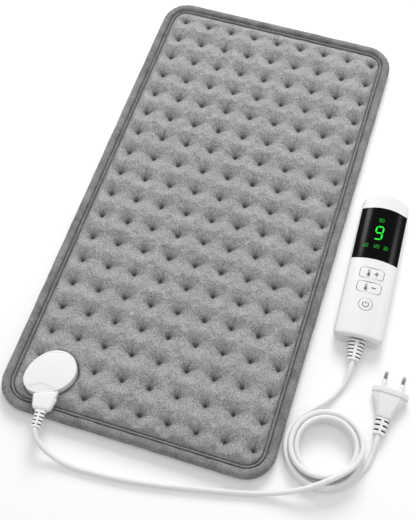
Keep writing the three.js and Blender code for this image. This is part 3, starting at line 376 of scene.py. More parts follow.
def pod_reach(x, y):
    """How far a point lies from the pod's centre: 1 on its outline."""
    dx, dy = x - POD_CENTRE[0], y - POD_CENTRE[1]
    c, s = heading(POD_TURN)
    u, v = dx * c + dy * s, -dx * s + dy * c
    u = np.where(u < 0, u / (1 + 2 * POD_NOSE), u)
    return np.hypot(u / POD_HALF[0], v / (POD_HALF[1] * (1 + POD_EGG * u / POD_HALF[0])))


xs = quilt_lines(FIELD_HALF[0], TUFT_COUNT[0], TUFT_SHIFT[0])
ys = quilt_lines(FIELD_HALF[1], TUFT_COUNT[1], TUFT_SHIFT[1])
grid_x, grid_y = (g.ravel() for g in np.meshgrid(xs, ys))
past = [np.clip((np.abs(g) - half + FIELD_CORNER) / FIELD_CORNER, 0, 1)
        for g, half in ((grid_x, FIELD_HALF[0]), (grid_y, FIELD_HALF[1]))]
corner_x = FIELD_CORNER * past[0] * np.sqrt(1 - past[1] ** 2 / 2)
corner_y = FIELD_CORNER * past[1] * np.sqrt(1 - past[0] ** 2 / 2)
in_corner = (past[0] > 0) & (past[1] > 0)
flat_x = np.where(in_corner, np.sign(grid_x) * (FIELD_HALF[0] - FIELD_CORNER + corner_x), grid_x)
flat_y = np.where(in_corner, np.sign(grid_y) * (FIELD_HALF[1] - FIELD_CORNER + corner_y), grid_y)


def from_tuft(g, count, shift):
    """How far each point is from the nearest line of tufts, and from the one next to it."""
    last = (count - 1) / 2
    number = np.clip(np.round((g - shift) / TUFT_PITCH + last), 0, count - 1) - last
    near = g - shift - number * TUFT_PITCH
    other = number + np.where(near >= 0, 1, -1)
    far = np.where(np.abs(other) <= last, near - np.where(near >= 0, 1, -1) * TUFT_PITCH, 1e3)
    return near, far, (number + last).astype(int)


near_x, other_x, _ = from_tuft(grid_x, TUFT_COUNT[0], TUFT_SHIFT[0])
near_y, other_y, _ = from_tuft(grid_y, TUFT_COUNT[1], TUFT_SHIFT[1])
dip = sum(np.clip(1 - np.hypot(a, b) / TUFT_REACH, 0, None) ** 2
          for a in (near_x, other_x) for b in (near_y, other_y))
edge_far = np.minimum(FIELD_HALF[0] - np.abs(grid_x), FIELD_HALF[1] - np.abs(grid_y))
edge_rise = np.sin(np.pi / 2 * np.clip(np.minimum.reduce([
    (FIELD_HALF[0] - np.abs(grid_x)) / SIDE_ROLL, (FIELD_HALF[1] - grid_y) / FAR_ROLL,
    (FIELD_HALF[1] + grid_y) / NEAR_ROLL]), 0, 1))
crown = CROWN_LEVEL - (CROWN_LEVEL - TUFT_LEVEL) * dip
height = SEAM_LEVEL + (crown - SEAM_LEVEL) * edge_rise
reach = pod_reach(flat_x, flat_y)
pod_far = (reach - 1) * POD_MEAN
height = np.minimum(height, POD_SEAT + np.clip(pod_far - POD_GAP, 0, None) * POD_SLOPE)

on_edge = edge_far < 1e-6
at_tuft = (np.hypot(near_x, near_y) < 1e-6) & ~on_edge
under_pod = pod_far < POD_HOLD
quilt_points = np.column_stack([flat_x, flat_y, height])


def grid_faces(rows, columns):
    return [(j * columns + i, j * columns + i + 1, (j + 1) * columns + i + 1, (j + 1) * columns + i)
            for j in range(rows - 1) for i in range(columns - 1)]


def mesh_object(name, points, faces):
    mesh = bpy.data.meshes.new(name)
    mesh.from_pydata((np.asarray(points, float) * MM).tolist(), [], faces)
    mesh.update()
    obj = bpy.data.objects.new(name, mesh)
    scene.collection.objects.link(obj)
    return obj


def loft(rings, looped=False):
    """Points and faces of a skin over rings of equal size: closed by two ends, or looped to the first."""
    count, size = len(rings), len(rings[0])
    faces = [(i * size + k, i * size + (k + 1) % size,
              (i + 1) % count * size + (k + 1) % size, (i + 1) % count * size + k)
             for i in range(count if looped else count - 1) for k in range(size)]
    if not looped:
        faces += [tuple(reversed(range(size))), tuple(range((count - 1) * size, count * size))]
    return np.array(rings, float).reshape(-1, 3), faces


def joined(forms):
    """The points and faces of several forms as one."""
    points, faces = [], []
    for some, their_faces in forms:
        faces += [tuple(i + len(points) for i in face) for face in their_faces]
        points += np.asarray(some).tolist()
    return points, faces


SWELL = {
    "quality": 5, "mass": 0.15, "tension_stiffness": 12, "compression_stiffness": 12, "shear_stiffness": 4,
    "bending_stiffness": 0.6, "tension_damping": 8, "compression_damping": 8, "shear_damping": 8,
    "vertex_group_mass": "sewn", "shrink_min": -0.012, "use_pressure": True, "uniform_pressure_force": 1.2,
}
SWELL_FRAMES = 20
SWELL_LIMIT = 1.0


def blown_up(points, faces, pinned):
    """The points after a short cloth simulation under pressure, none moved more than a limit."""
    sheet = mesh_object("quilt_sheet", points, faces)
    hold = sheet.vertex_groups.new(name="sewn")
    hold.add([int(i) for i in np.flatnonzero(pinned)], 1.0, "REPLACE")
    swell = sheet.modifiers.new("cloth", "CLOTH")
    for key, value in SWELL.items():
        setattr(swell.settings, key, value)
    swell.settings.effector_weights.gravity = 0
    swell.collision_settings.use_collision = False
    swell.point_cache.frame_start = 1
    swell.point_cache.frame_end = SWELL_FRAMES + 4
    for number in range(1, SWELL_FRAMES + 1):
        scene.frame_set(number)
    shaped = sheet.evaluated_get(bpy.context.evaluated_depsgraph_get())
    moved = np.array([v.co for v in shaped.data.vertices], float) / MM
    scene.frame_set(1)
    bpy.data.objects.remove(sheet)
    step = moved - points
    far = np.linalg.norm(step, axis=1, keepdims=True)
    return points + step * np.minimum(1, SWELL_LIMIT / np.maximum(far, 1e-9))


quilt_points = blown_up(quilt_points, grid_faces(len(ys), len(xs)), on_edge | at_tuft | under_pod)


def twice_as_fine(rows):
    """A grid of points with a new one midway between each two, on a smooth curve."""
    for axis in (0, 1):
        g = np.moveaxis(rows, axis, 0)
        ends = np.concatenate([2 * g[:1] - g[1:2], g, 2 * g[-1:] - g[-2:-1]])
        between = (9 * (ends[1:-2] + ends[2:-1]) - ends[:-3] - ends[3:]) / 16
        fine = np.empty((2 * len(g) - 1, *g.shape[1:]))
        fine[0::2], fine[1::2] = g, between
        rows = np.moveaxis(fine, 0, axis)
    return rows


# The sheet is made finer.
quilt_grid = twice_as_fine(quilt_points.reshape(len(ys), len(xs), 3))
rows, columns = quilt_grid.shape[:2]
quilt_points = quilt_grid.reshape(-1, 3)

# Each tuft is drawn into a narrow pit with a star of creases, given as turn, share and length.
# Between tufts of a row lies a shallow trough that bows away, with a sharper valley near the tufts.
# Low lumps lie over the sheet. All of these fade out beside the pod and the seam.
CREASE_DEPTH, VALLEY_DEPTH, TROUGH_DEPTH, PIT_DEPTH = 1.2, 1.3, 0.95, 1.0
CREASE_WIDTH, CREASE_SPREAD, CREASE_LIMIT = 0.9, 0.05, 1.4
VALLEY_WIDTH, VALLEY_LENGTH, PIT_WIDTH = 1.7, 10.0, 1.8
TROUGH_AT_TUFT, TROUGH_GROWS = 0.4, 1.2
# Width and shares of the painted shade in the tuft pits, creases and valleys, with pressed pile at the tufts.
PIT_PRESS_AND_SHADE_WIDTH, CREASE_SHADE, VALLEY_SHADE = 2.0, 0.62, 0.12
POD_CLEAR, SEAM_CLEAR, TUFT_NEAR = 1.08, 2.0, 6.0
COVER_THIN = 0.2
ROW_BOW = 3.6
LUMPS = ((0.30, 7.0, 2.5), (0.16, 2.6, 8.5))


def drift(p, high, size, seed):
    """Smooth chance between -high and high, from a place on the pad."""
    return high * noise.noise(Vector((p[0] / size, p[1] / size, seed)))


chance = np.random.default_rng(7)
CREASES = ((90, 1.1, 8.5), (138, 0.9, 5.5), (42, 0.9, 5.5), (270, 0.9, 3.6), (14, 0.8, 6.5), (166, 0.8, 6.5))
lean = chance.uniform(-11, 11, (*TUFT_COUNT, len(CREASES)))
depth = chance.uniform(0.6, 1.2, (*TUFT_COUNT, len(CREASES)))
near_x, _, tuft_i = from_tuft(quilt_points[:, 0], TUFT_COUNT[0], TUFT_SHIFT[0])
near_y, _, tuft_j = from_tuft(quilt_points[:, 1], TUFT_COUNT[1], TUFT_SHIFT[1])
away = np.hypot(near_x, near_y)
clear = np.clip((pod_reach(quilt_points[:, 0], quilt_points[:, 1]) - POD_CLEAR) * 8, 0, 1)
clear *= np.clip(quilt_points[:, 2] - SEAM_LEVEL - SEAM_CLEAR, 0, 1) + (away < TUFT_NEAR)
clear = np.clip(clear, 0, 1)
creased = np.zeros(len(quilt_points))
for k, (turn, share, length) in enumerate(CREASES):
    way = np.radians(turn + lean[tuft_i, tuft_j, k])
    along = near_x * np.cos(way) + near_y * np.sin(way)
    across = near_y * np.cos(way) - near_x * np.sin(way)
    line = np.exp(-(across / (CREASE_WIDTH + CREASE_SPREAD * away)) ** 2 - along / length) * (along > 0)
    creased += share * depth[tuft_i, tuft_j, k] * line
creased = np.minimum(creased, CREASE_LIMIT)
bow = ROW_BOW * (1 - (1 - np.abs(near_x) / (TUFT_PITCH / 2)) ** 2)
valley = np.exp(-np.abs(near_y - bow) / VALLEY_WIDTH - np.abs(near_x) / VALLEY_LENGTH)
trough = ((1 + np.cos(2 * np.pi * (near_y - bow) / TUFT_PITCH))
          * (TROUGH_AT_TUFT + TROUGH_GROWS * np.abs(near_x) / TUFT_PITCH))
quilt_points[:, 2] -= clear * (CREASE_DEPTH * creased + VALLEY_DEPTH * valley + TROUGH_DEPTH * trough
                               + PIT_DEPTH * np.exp(-(away / PIT_WIDTH) ** 2))
quilt_points[:, 2] += clear * [sum(drift(p, *lump) for lump in LUMPS) for p in quilt_points]
quilt_points[:, 2] = np.maximum(quilt_points[:, 2], COVER_LOW + COVER_THIN)
# Painted shade: a share that darkens the plush's colour in the tuft pits, along the creases and in the row
# valleys, where shade falls. At the tufts it also stands for the pile pressed flat.
pressed_pile_and_shade = clear * np.clip(np.exp(-away / PIT_PRESS_AND_SHADE_WIDTH) + CREASE_SHADE * creased + VALLEY_SHADE * valley, 0, 1)

# A flat backing closes the sheet below.
quilt_faces = grid_faces(rows, columns)
rim = (list(range(columns))
       + [(j + 1) * columns - 1 for j in range(1, rows)]
       + [rows * columns - 1 - i for i in range(1, columns)]
       + [j * columns for j in range(rows - 2, 0, -1)])
below = quilt_points[rim].copy()
below[:, 2] = COVER_LOW
first = len(quilt_points)
quilt_faces += [(rim[k], first + k, first + (k + 1) % len(rim), rim[(k + 1) % len(rim)])
                for k in range(len(rim))]
quilt_faces.append(tuple(first + k for k in reversed(range(len(rim)))))
quilt_points = np.vstack([quilt_points, below])


def pile_cloth():
    """Plush: flecks of pile over soft clouds, darkened by painted shade in its hollows and by pressed pile,
    with the nap as a bump.
    """
    group, given, made = node_group(
        "pile_cloth",
        (("Dark", "Color", grey(0.2)), ("Light", "Color", grey(0.4)), ("Fleck Scale", "Float", 650.0),
         ("Cloud Scale", "Float", 70.0), ("Cloud", "Float", 0.3), ("Nap", "Float", 0.6),
         ("Pressed And Shade", "Float", 0.0)),
        (("Color", "Color"), ("Normal", "Vector")))
    place = add_node(group, "TexCoord", out="Object")
    brushed = add_node(group, "Mapping", {"Vector": place, "Rotation": (0, 0, math.radians(35)),
                                          "Scale": (1.0, 0.5, 1.0)})
    shares = []
    for vector, scale, low in ((brushed, "Fleck Scale", 0.36), (place, "Cloud Scale", 0.30)):
        texture = add_node(group, "TexNoise", {"Vector": vector, "Scale": given[scale], "Detail": 3,
                                               "Roughness": 0.6})
        shares.append(add_node(group, "MapRange", {"Value": texture, "From Min": low, "From Max": 1 - low}))
    blend = add_node(group, "Mix", {"Factor": given["Cloud"], "A": shares[0], "B": shares[1]}, "Result")
    color = add_node(group, "Mix", {"Factor": blend, "A": given["Dark"], "B": given["Light"]}, "Result",
                     data_type="RGBA")
    # Painted shade: the colour drops to 40 percent where the shade input is 1.
    unshaded_share = add_node(group, "MapRange", {"Value": given["Pressed And Shade"], "To Min": 1.0, "To Max": 0.40})
    set_inputs(group, made, {
        "Color": add_node(group, "VectorMath", {0: color, "Scale": unshaded_share}, operation="SCALE"),
        "Normal": add_node(group, "Bump", {"Strength": given["Nap"], "Distance": 0.0008,
                                           "Height": shares[0]})})
    return group


PILE = pile_cloth()


def cloth(name, dark, light, fleck, cloud, nap, sheen):
    """A pile cloth; cloud is its (scale, share) of soft patches."""
    material, tree, shader = new_material(name)
    made = add_node(tree, "Group", {"Dark": (*dark, 1), "Light": (*light, 1), "Fleck Scale": fleck,
                                    "Cloud Scale": cloud[0], "Cloud": cloud[1], "Nap": nap}, None,
                    node_tree=PILE).outputs
    set_inputs(tree, shader, {"Base Color": made["Color"], "Normal": made["Normal"], "Roughness": 0.95,
                              "Specular IOR Level": 0.1, "Sheen Weight": sheen, "Sheen Roughness": 0.45})
    return material


def tuft_folds():
    """Fine folds that run out from each tuft: a height that is 1 in a fold and 0 between folds."""
    group, _, made = node_group("tuft_folds", (), (("Height", "Float"),))

    def vector(operation, first, second=(0, 0, 0), out=0):
        return add_node(group, "VectorMath", {0: first, 1: second}, out, operation=operation)

    def number(operation, first, second=0.0):
        return add_node(group, "Math", {0: first, 1: second}, operation=operation)

    pitch = TUFT_PITCH * MM
    shifted = vector("SUBTRACT", add_node(group, "TexCoord", out="Object"),
                     (TUFT_SHIFT[0] * MM - pitch / 2, TUFT_SHIFT[1] * MM, 0))
    cells = vector("MULTIPLY", shifted, (1 / pitch, 1 / pitch, 0))
    corner = vector("FLOOR", cells)
    from_middle = vector("SUBTRACT", vector("SUBTRACT", cells, corner), (0.5, 0.5, 0))
    way = vector("MULTIPLY", vector("NORMALIZE", from_middle), (2.6, 2.6, 0))
    own = vector("ADD", way, vector("MULTIPLY", corner, (7.3, 5.7, 0)))
    wave = add_node(group, "TexNoise", {"Vector": own, "Scale": 1.0, "Detail": 2})
    sharp = add_node(group, "MapRange", {"Value": wave, "From Min": 0.40, "From Max": 0.62})
    reach = number("DIVIDE", vector("LENGTH", from_middle, out="Value"), 0.15)
    fade = number("EXPONENT", number("SUBTRACT", 1.0, reach))
    height = number("MULTIPLY", number("MULTIPLY", reach, fade), sharp)
    set_inputs(group, made, {"Height": height})
    return group


PLUSH = cloth("grey_plush", (0.195, 0.195, 0.2), (0.58, 0.58, 0.592), 1000, (90, 0.25), 0.7, 0.1)
tree = PLUSH.node_tree
pile = tree.nodes["Group"]
folds = add_node(tree, "Group", out="Height", node_tree=tuft_folds())
# Painted shade: the plush is darkened by the attribute's shade in the pits, creases and valleys, and a little
# along the fine folds.
pile_shade_map = add_node(tree, "Attribute", out="Fac", attribute_name="pressed_pile_and_shade")
set_inputs(tree, pile, {"Pressed And Shade": add_node(tree, "Math", {0: folds, 1: 0.10, 2: pile_shade_map},
                                            operation="MULTIPLY_ADD")})
gather = add_node(tree, "Bump", {"Strength": 0.5, "Distance": 0.0010, "Height": folds,
                                 "Normal": pile.outputs["Normal"]}, invert=True)
set_inputs(tree, tree.nodes["Principled BSDF"], {"Normal": gather})


def dressed(obj, material, body, replaced=(), sharp_from=None):
    obj.data.materials.append(material)
    obj.data.shade_smooth()
    if sharp_from is not None:
        obj.data.set_sharp_from_angle(angle=math.radians(sharp_from))
    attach(obj, body)
    if replaced:
        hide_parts(*replaced)
    return obj


quilt = mesh_object("quilted_cover", quilt_points, quilt_faces)
# The attribute holds the painted shade of the pits, creases and valleys, with the pressed pile at the tufts.
quilt.data.attributes.new("pressed_pile_and_shade", "FLOAT", "POINT").data.foreach_set(
    "value", np.concatenate([pressed_pile_and_shade, np.zeros(len(rim))]))
dressed(quilt, PLUSH, "pad", ("pad_top_cover",), 60)

# A short stitch of thread holds each tuft down. Its near-black tone is partly painted shade: it darkens the
# bottom of each pit, where shade falls.
STITCH_LEVEL = COVER_LOW + 0.4
STITCH_CLEAR = 1.15
THREAD_ROUND = [heading(turn) for turn in range(0, 360, 45)]
STITCH = ((-1.4, -0.5, 0.3), (-0.9, 0.1, 0.5), (0, 0.35, 0.6), (0.9, 0.1, 0.5), (1.4, -0.5, 0.3))
stitch_forms = []
for i in range(TUFT_COUNT[0]):
    for j in range(TUFT_COUNT[1]):
        x = TUFT_SHIFT[0] + (i - (TUFT_COUNT[0] - 1) / 2) * TUFT_PITCH
        y = TUFT_SHIFT[1] + (j - (TUFT_COUNT[1] - 1) / 2) * TUFT_PITCH
        if pod_reach(x, y) < STITCH_CLEAR:
            continue
        turn = chance.uniform(-0.5, 0.5)
        c, s = math.cos(turn), math.sin(turn)
        stitch_forms.append(loft([
            [(x + c * along - s * thick * out, y + s * along + c * thick * out,
              STITCH_LEVEL + rise + thick * up) for out, up in THREAD_ROUND]
            for along, rise, thick in reversed(STITCH)]))
stitches = mesh_object("tuft_stitches", *joined(stitch_forms))
THREAD_AND_PIT_SHADE = cloth("thread_and_pit_shade", (0.02, 0.02, 0.02), (0.07, 0.07, 0.07), 1500, (200, 0.2), 0.3, 0.0)
dressed(stitches, THREAD_AND_PIT_SHADE, "pad")


# The rolled edge: a wide strip of brushed cloth sewn round the pad over a soft core.
# Inside it runs a narrow corded ridge between two sewn grooves.
BINDING_WIDTH = 9.6
BINDING_HEIGHT = 13.0
BINDING_TUCK = 0.25
BINDING_STEPS = 28
BINDING_LIFT, BINDING_LEAN, BINDING_RIPPLE = (0.45, 22, 1.5), (0.35, 15, 7.5), (0.30, 7, 3.5)
PUCKER_HEIGHT, PUCKER_REACH, PUCKER_PACE = 0.55, 34.0, 0.95
PUCKER_DRIFT = (2.0, 20, 9.5)
CORNER_INSET = 12.0
RIM_STEP = 2.0


def round_corners(half_a, half_b, corner, steps):
    """Points round a rectangle with round corners."""
    return [(way_a * (half_a - corner) + corner * c, way_b * (half_b - corner) + corner * s)
            for first, way_a, way_b in ((0, 1, 1), (90, -1, 1), (180, -1, -1), (270, 1, -1))
            for c, s in map(heading, np.linspace(first, first + 90, steps))]


def rim_path(inset, step):
    """Points round the pad at an inset, with the outward direction and the length so far."""
    points = round_corners(PAD_HALF[0] - inset, PAD_HALF[1] - inset, PAD_CORNER - inset, 15)
    points = np.array(points + points[:1])
    lengths = np.concatenate([[0], np.cumsum(np.linalg.norm(np.diff(points, axis=0), axis=1))])
    at = np.linspace(0, lengths[-1], int(lengths[-1] / step), endpoint=False)
    even = np.column_stack([np.interp(at, lengths, points[:, k]) for k in range(2)])
    along = np.roll(even, -1, axis=0) - np.roll(even, 1, axis=0)
    along /= np.linalg.norm(along, axis=1, keepdims=True)
    return even, np.column_stack([along[:, 1], -along[:, 0]]), at


def swept_rim(name, profile_at, inset):
    """A closed ring: profile_at(point, length) gives (inwards, up) pairs of its section."""
    path, outward, lengths = rim_path(inset, RIM_STEP)
    rings = [[(p[0] - n[0] * d, p[1] - n[1] * d, z) for d, z in profile_at(p, s)]
             for p, n, s in zip(path, outward, lengths)]
    return mesh_object(name, *loft(rings, looped=True))


def binding_section(p, s):
    """A squarish roll that sways and ripples along its way, with puckers at the pad's corners."""
    made = []
    lift = drift(p, *BINDING_LIFT)
    lean = drift(p, *BINDING_LEAN)
    from_corner = math.hypot(*(abs(p[k]) - PAD_HALF[k] + CORNER_INSET for k in range(2)))
    puckered = PUCKER_HEIGHT * max(0.0, 1 - from_corner / PUCKER_REACH)
    for k in range(BINDING_STEPS):
        c, si = heading(360 * k / BINDING_STEPS)
        across = BINDING_WIDTH / 2 * (1 - abs(c) ** 0.72 * math.copysign(1, c))
        up = BINDING_HEIGHT / 2 * (1 + abs(si) ** 0.80 * math.copysign(1, si))
        ripple = drift((p[0] + 9 * c, p[1] + 9 * si), *BINDING_RIPPLE) * (up > 2)
        pucker = puckered * math.sin(s * PUCKER_PACE + drift(p, *PUCKER_DRIFT)) * (up > 5)
        made.append((across + (lean + ripple) * (up > 2) + BINDING_TUCK,
                     max(0.05, up + (lift + ripple + pucker) * (up > 4))))
    return made


BRUSHED = cloth("brushed_binding", (0.10, 0.10, 0.103), (0.405, 0.405, 0.412), 1100, (60, 0.5), 0.7, 0.1)
binding = swept_rim("rolled_binding", binding_section, 0)
dressed(binding, BRUSHED, "pad", ("edge_binding",))

RIDGE_LIFT = (0.25, 12, 4.5)
RIDGE_INSET = 10.3
RIDGE_SIDE = ((-1.6, 5.0), (-1.6, 6.6), (-0.2, 6.6), (0.1, 8.0), (0.25, 9.6), (0.7, 10.2), (1.2, 10.4))


def welt_section(p, s):
    """A flat strip with the ridge along its middle: the two floors beside it are the sewn grooves."""
    lift = drift(p, *RIDGE_LIFT)
    side = [(d, z + lift * (z > 7)) for d, z in RIDGE_SIDE]
    return side + [(2.6 - d if d > -1 else 4.6, z) for d, z in reversed(side)]


welt = swept_rim("corded_ridge", welt_section, RIDGE_INSET)
RIDGE_CLOTH = cloth("ridge_cloth", (0.13, 0.13, 0.133), (0.40, 0.40, 0.406), 1000, (90, 0.3), 0.5, 0.1)
dressed(welt, RIDGE_CLOTH, "pad", ("seam_welt",))


# The underside: one flat sheet of plain brushed cloth, cut to the pad's outline.
# Its edge is caught in the binding.
BOTTOM_INSET = 10.0
BOTTOM_THICK = 1.2
BOTTOM_STEP = 6.0
bottom_path, _, _ = rim_path(BOTTOM_INSET, BOTTOM_STEP)
bottom = mesh_object("under_cover", *loft([[(x, y, z) for x, y in bottom_path] for z in (0.0, BOTTOM_THICK)]))
dressed(bottom, BRUSHED, "pad", ("pad_bottom_cover",), 40)


# The pod: a flat egg-shaped housing screwed through the cover, with the socket in its near side.
# Glossy white plastic in two halves: a cover with rounded edges on a thin base.
WHITE_GLOSS = moulded("white_gloss", (0.87, 0.87, 0.874), 0.30, 0.05)
POD_STEPS = 96


def pod_ring(grow, z):
    ring = []
    c, s = heading(POD_TURN)
    for k in range(POD_STEPS):
        along, across = heading(360 * k / POD_STEPS)
        u = (POD_HALF[0] + grow) * along * (1 + POD_NOSE * (1 - along))
        v = (POD_HALF[1] + grow) * (1 + POD_EGG * along) * across
        ring.append((POD_CENTRE[0] + u * c - v * s, POD_CENTRE[1] + u * s + v * c, z))
    return ring


def rounded(low, high, round_low, round_high, steps=5):
    """(shrink, level) pairs up the side of a form with rounded edges."""
    bends = [(1 - s, 1 - c) for c, s in map(heading, np.linspace(0, 90, steps + 1))]
    return ([(round_low * a, low + round_low * b) for a, b in bends]
            + [(round_high * b, high - round_high * a) for a, b in bends])


POD_LOW, POD_TOP = 10.4, 22.9
RIM_LINE = 2.9
DOME_RISE, DOME_SPAN, DOME_END = 0.55, 18, 21
DIP_EDGE, DIP_DEPTH, DIP_EASE = -14.6, 0.6, 2.2
pod_rings = [pod_ring(-shrink, z) for shrink, z in rounded(POD_LOW, POD_TOP, 0.5, 1.4, 6)]
pod_rings += [pod_ring(-shrink, POD_TOP - drop) for shrink, drop in (
    (RIM_LINE - 0.7, 0), (RIM_LINE - 0.35, 0.03), (RIM_LINE, 0.28), (RIM_LINE + 0.35, 0.03))]
pod_rings += [pod_ring(-shrink, POD_TOP + DOME_RISE * (1 - ((DOME_END - shrink) / DOME_SPAN) ** 2))
              for shrink in np.arange(RIM_LINE + 0.8, DOME_END, 0.7)]


def in_connector(points):
    """Points of the row frame in the connector's frame, as seen from above."""
    (x, y, _), turn = CONNECTOR_FRAME
    return placed(np.array(points, float) - (x, y, 0), (0, 0, 0), -turn)


def thumb_dip(x, y):
    """How deep the shallow thumb dip is: it opens towards the connector behind a wavy edge."""
    (x, y, _), = in_connector([(x, y, 0)])
    edge = DIP_EDGE - 1.9 * math.tanh((x - 1) / 5) - 0.016 * x * x
    return DIP_DEPTH * eased(edge - y, 0, DIP_EASE)


pod_rings = [[(x, y, z - (thumb_dip(x, y) if z > POD_TOP - 0.5 else 0)) for x, y, z in ring]
             for ring in pod_rings]
pod_cover = mesh_object("pod_shell", *loft(pod_rings))


def oblong(width, high, y, corner, steps=7):
    """A rounded rectangle across the y axis."""
    return [(x, y, z) for x, z in round_corners(width / 2, high / 2, corner, steps)]


def from_frame(frame_of, points_and_faces):
    points, faces = points_and_faces
    return placed(points, *frame_of), faces


def carve(obj, cutter):
    """Takes the cutter's form out of an object for good."""
    cut = obj.modifiers.new("carve", "BOOLEAN")
    cut.operation = "DIFFERENCE"
    cut.solver = "EXACT"
    cut.object = cutter
    made = bpy.data.meshes.new_from_object(obj.evaluated_get(bpy.context.evaluated_depsgraph_get()))
    obj.modifiers.clear()
    old = obj.data
    obj.data = made
    made.name = old.name
    bpy.data.meshes.remove(old)
    bpy.data.objects.remove(cutter)


NOSE = (14, 6.2)
NOSE_END = -14.994
SOCKET = (14.8, 7.0)
carve(pod_cover, mesh_object("socket_well", *from_frame(CONNECTOR_FRAME, loft(
    [oblong(*SOCKET, y, 1.2) for y in (-40, NOSE_END + 0.6)]))))
dressed(pod_cover, WHITE_GLOSS, "pad", ("pod_cover",), 50)
pod_base = mesh_object("pod_foot", *loft(
    [pod_ring(-shrink - 0.25, z) for shrink, z in rounded(8.2, 10.2, 0.5, 0.3, 3)]))
dressed(pod_base, WHITE_GLOSS, "pad", ("pod_base",), 50)


# The connector: a small tapered housing that plugs into the pod, with a springy latch arm on
# each side and a ribbed bending boot for the cord.
CONNECTOR_START, CONNECTOR_END = -25.694, -41.194
CONNECTOR_SIDES = ((0.0, 12.3), (0.16, 12.1), (0.5, 11.1), (0.84, 9.9), (0.93, 9.2), (1.0, 8.0))
CONNECTOR_HEIGHT = 8.8
pod_edge = in_connector(pod_ring(0.35, 0))
pod_edge = pod_edge[pod_edge[:, 1] < -8]
pod_edge = pod_edge[np.argsort(pod_edge[:, 0])]


def connector_ring(share, grow, corner):
    """A ring of the housing: share 0 follows the pod's side, share 1 is square at the boot."""
    width = 2 * np.interp(share, *zip(*CONNECTOR_SIDES)) + grow
    ring = []
    for x, _, z in oblong(width, CONNECTOR_HEIGHT + grow, 0, corner):
        start = np.interp(x, pod_edge[:, 0], pod_edge[:, 1])
        ring.append((x, start + (CONNECTOR_END - start) * share, z))
    return ring


connector_rings = [oblong(*NOSE, y, 0.9) for y in (NOSE_END, CONNECTOR_START + 1.5)]
connector_rings += [connector_ring(share, grow, corner) for share, grow, corner in (
    (0.0, -2.2, 1.6), (0.02, -0.9, 2.0), (0.06, -0.2, 2.2), (0.12, 0, 2.3), (0.3, 0, 2.4), (0.5, 0, 2.4),
    (0.7, 0, 2.5), (0.86, 0, 2.6), (0.93, -0.4, 2.7), (0.975, -1.5, 2.7), (1.0, -3.4, 2.5))]
connector = mesh_object("connector_housing", *from_frame(CONNECTOR_FRAME, loft(connector_rings)))
for way in (-1, 1):
    carve(connector, mesh_object("latch_channel", *from_frame(CONNECTOR_FRAME, loft(
        [[(x + way * (floor_at + 3), y, z) for x, y, z in oblong(6, 5.8, y, 0.4, 3)]
         for y, floor_at in ((-39.0, 8.3), (-34.0, 8.9), (-24.0, 9.9))]))))
dressed(connector, WHITE_GLOSS, "lead_set", ("connector_body",), 50)

# Each latch arm, by its place along the housing, inner side, thickness and height.
LATCH_FORM = ((-38.6, 8.7, 1.2, 4.4), (-38.2, 8.8, 1.5, 5.0), (-34, 9.5, 1.6, 5.0), (-30, 10.3, 1.7, 5.0),
              (-27.4, 10.8, 1.8, 5.0), (-26.9, 10.9, 1.7, 4.8), (-26.7, 11.0, 1.4, 4.2))
for side, way in (("left", -1), ("right", 1)):
    arm = []
    for y, inner, thick, high in LATCH_FORM:
        arm.append([(x + way * (inner + thick / 2), yy, z) for x, yy, z in oblong(thick, high, y, 0.6, 4)])
    latch = mesh_object(f"latch_lever_{side}", *from_frame(CONNECTOR_FRAME, loft(arm)))
    dressed(latch, WHITE_GLOSS, f"{side}_latch", (f"latch_arm_{side}",), 50)

WHITE_FLEX = moulded("white_flex", (0.85, 0.85, 0.855), 0.40, 0.15)
SLOT_SHARE, CORE_SHARE = 0.38, 0.3


def oval(width, high, y, z=0.0, square=2.6, steps=48):
    ring = []
    for k in range(steps):
        c, s = heading(360 * k / steps)
        ring.append((width / 2 * math.copysign(abs(c) ** (2 / square), c), y,
                     z + high / 2 * math.copysign(abs(s) ** (2 / square), s)))
    return ring


def ribbed_boot(start, length, width, high, tip, ribs, collar, z=0.0):
    """A tapered boot along -y: ribs with slots between them, and a spine on each flat face."""
    def size(t):
        return width + (tip - width) * t
    def ring(t, share):
        return oval(size(t) * share, size(t) * share * high / width, start - length * t, z)
    rings = [ring(0, 0.9), ring(0.01, 0.98), ring(0.03, 1.0), ring(collar, 1.0)]
    pitch = (1 - collar) / ribs
    for k in range(ribs):
        low = collar + k * pitch
        slot = low + pitch * SLOT_SHARE
        rings += [ring(low + 0.004, 0.97), ring(low + 0.006, CORE_SHARE), ring(slot - 0.006, CORE_SHARE),
                  ring(slot - 0.004, 0.97), ring(slot + 0.012, 1.0), ring(low + pitch - 0.012, 1.0)]
    rings += [ring(0.995, 0.97), ring(1.0, 0.85)]
    forms = [loft(rings)]
    for way in (-1, 1):
        spine = []
        for t in (collar * 0.8, 0.97):
            half, top = size(t) * 0.12, size(t) * high / width / 2
            spine.append([(u * half, start - length * t, z + way * top * share)
                          for u, share in ((-1, 0.2), (1, 0.2), (0.85, 0.99), (-0.85, 0.99))])
        forms.append(loft(spine))
    return joined(forms)


# Painted shade for the boots' slots: a dark tone on their core faces.
BOOT_SLOT_SHADE = moulded("boot_slot_shade", (0.16, 0.16, 0.165), 0.6, 0.1)


def flex_boot(name, frame_of, replaced, start, length, width, high, tip, ribs, collar, z=0.0):
    """A boot's piece, with a dark painted shade on the core faces in its slots."""
    boot = mesh_object(name, *from_frame(
        frame_of, ribbed_boot(start, length, width, high, tip, ribs, collar, z)))
    dressed(boot, WHITE_FLEX, "lead_set", (replaced,), 45)
    boot.data.materials.append(BOOT_SLOT_SHADE)
    # Painted shade: the core faces inside each slot take the dark material, where shade falls.
    size = len(oval(1, 1, 0))
    for k in range(ribs):
        for number in range((6 * k + 4) * size, (6 * k + 7) * size):
            boot.data.polygons[number].material_index = 1
    return boot


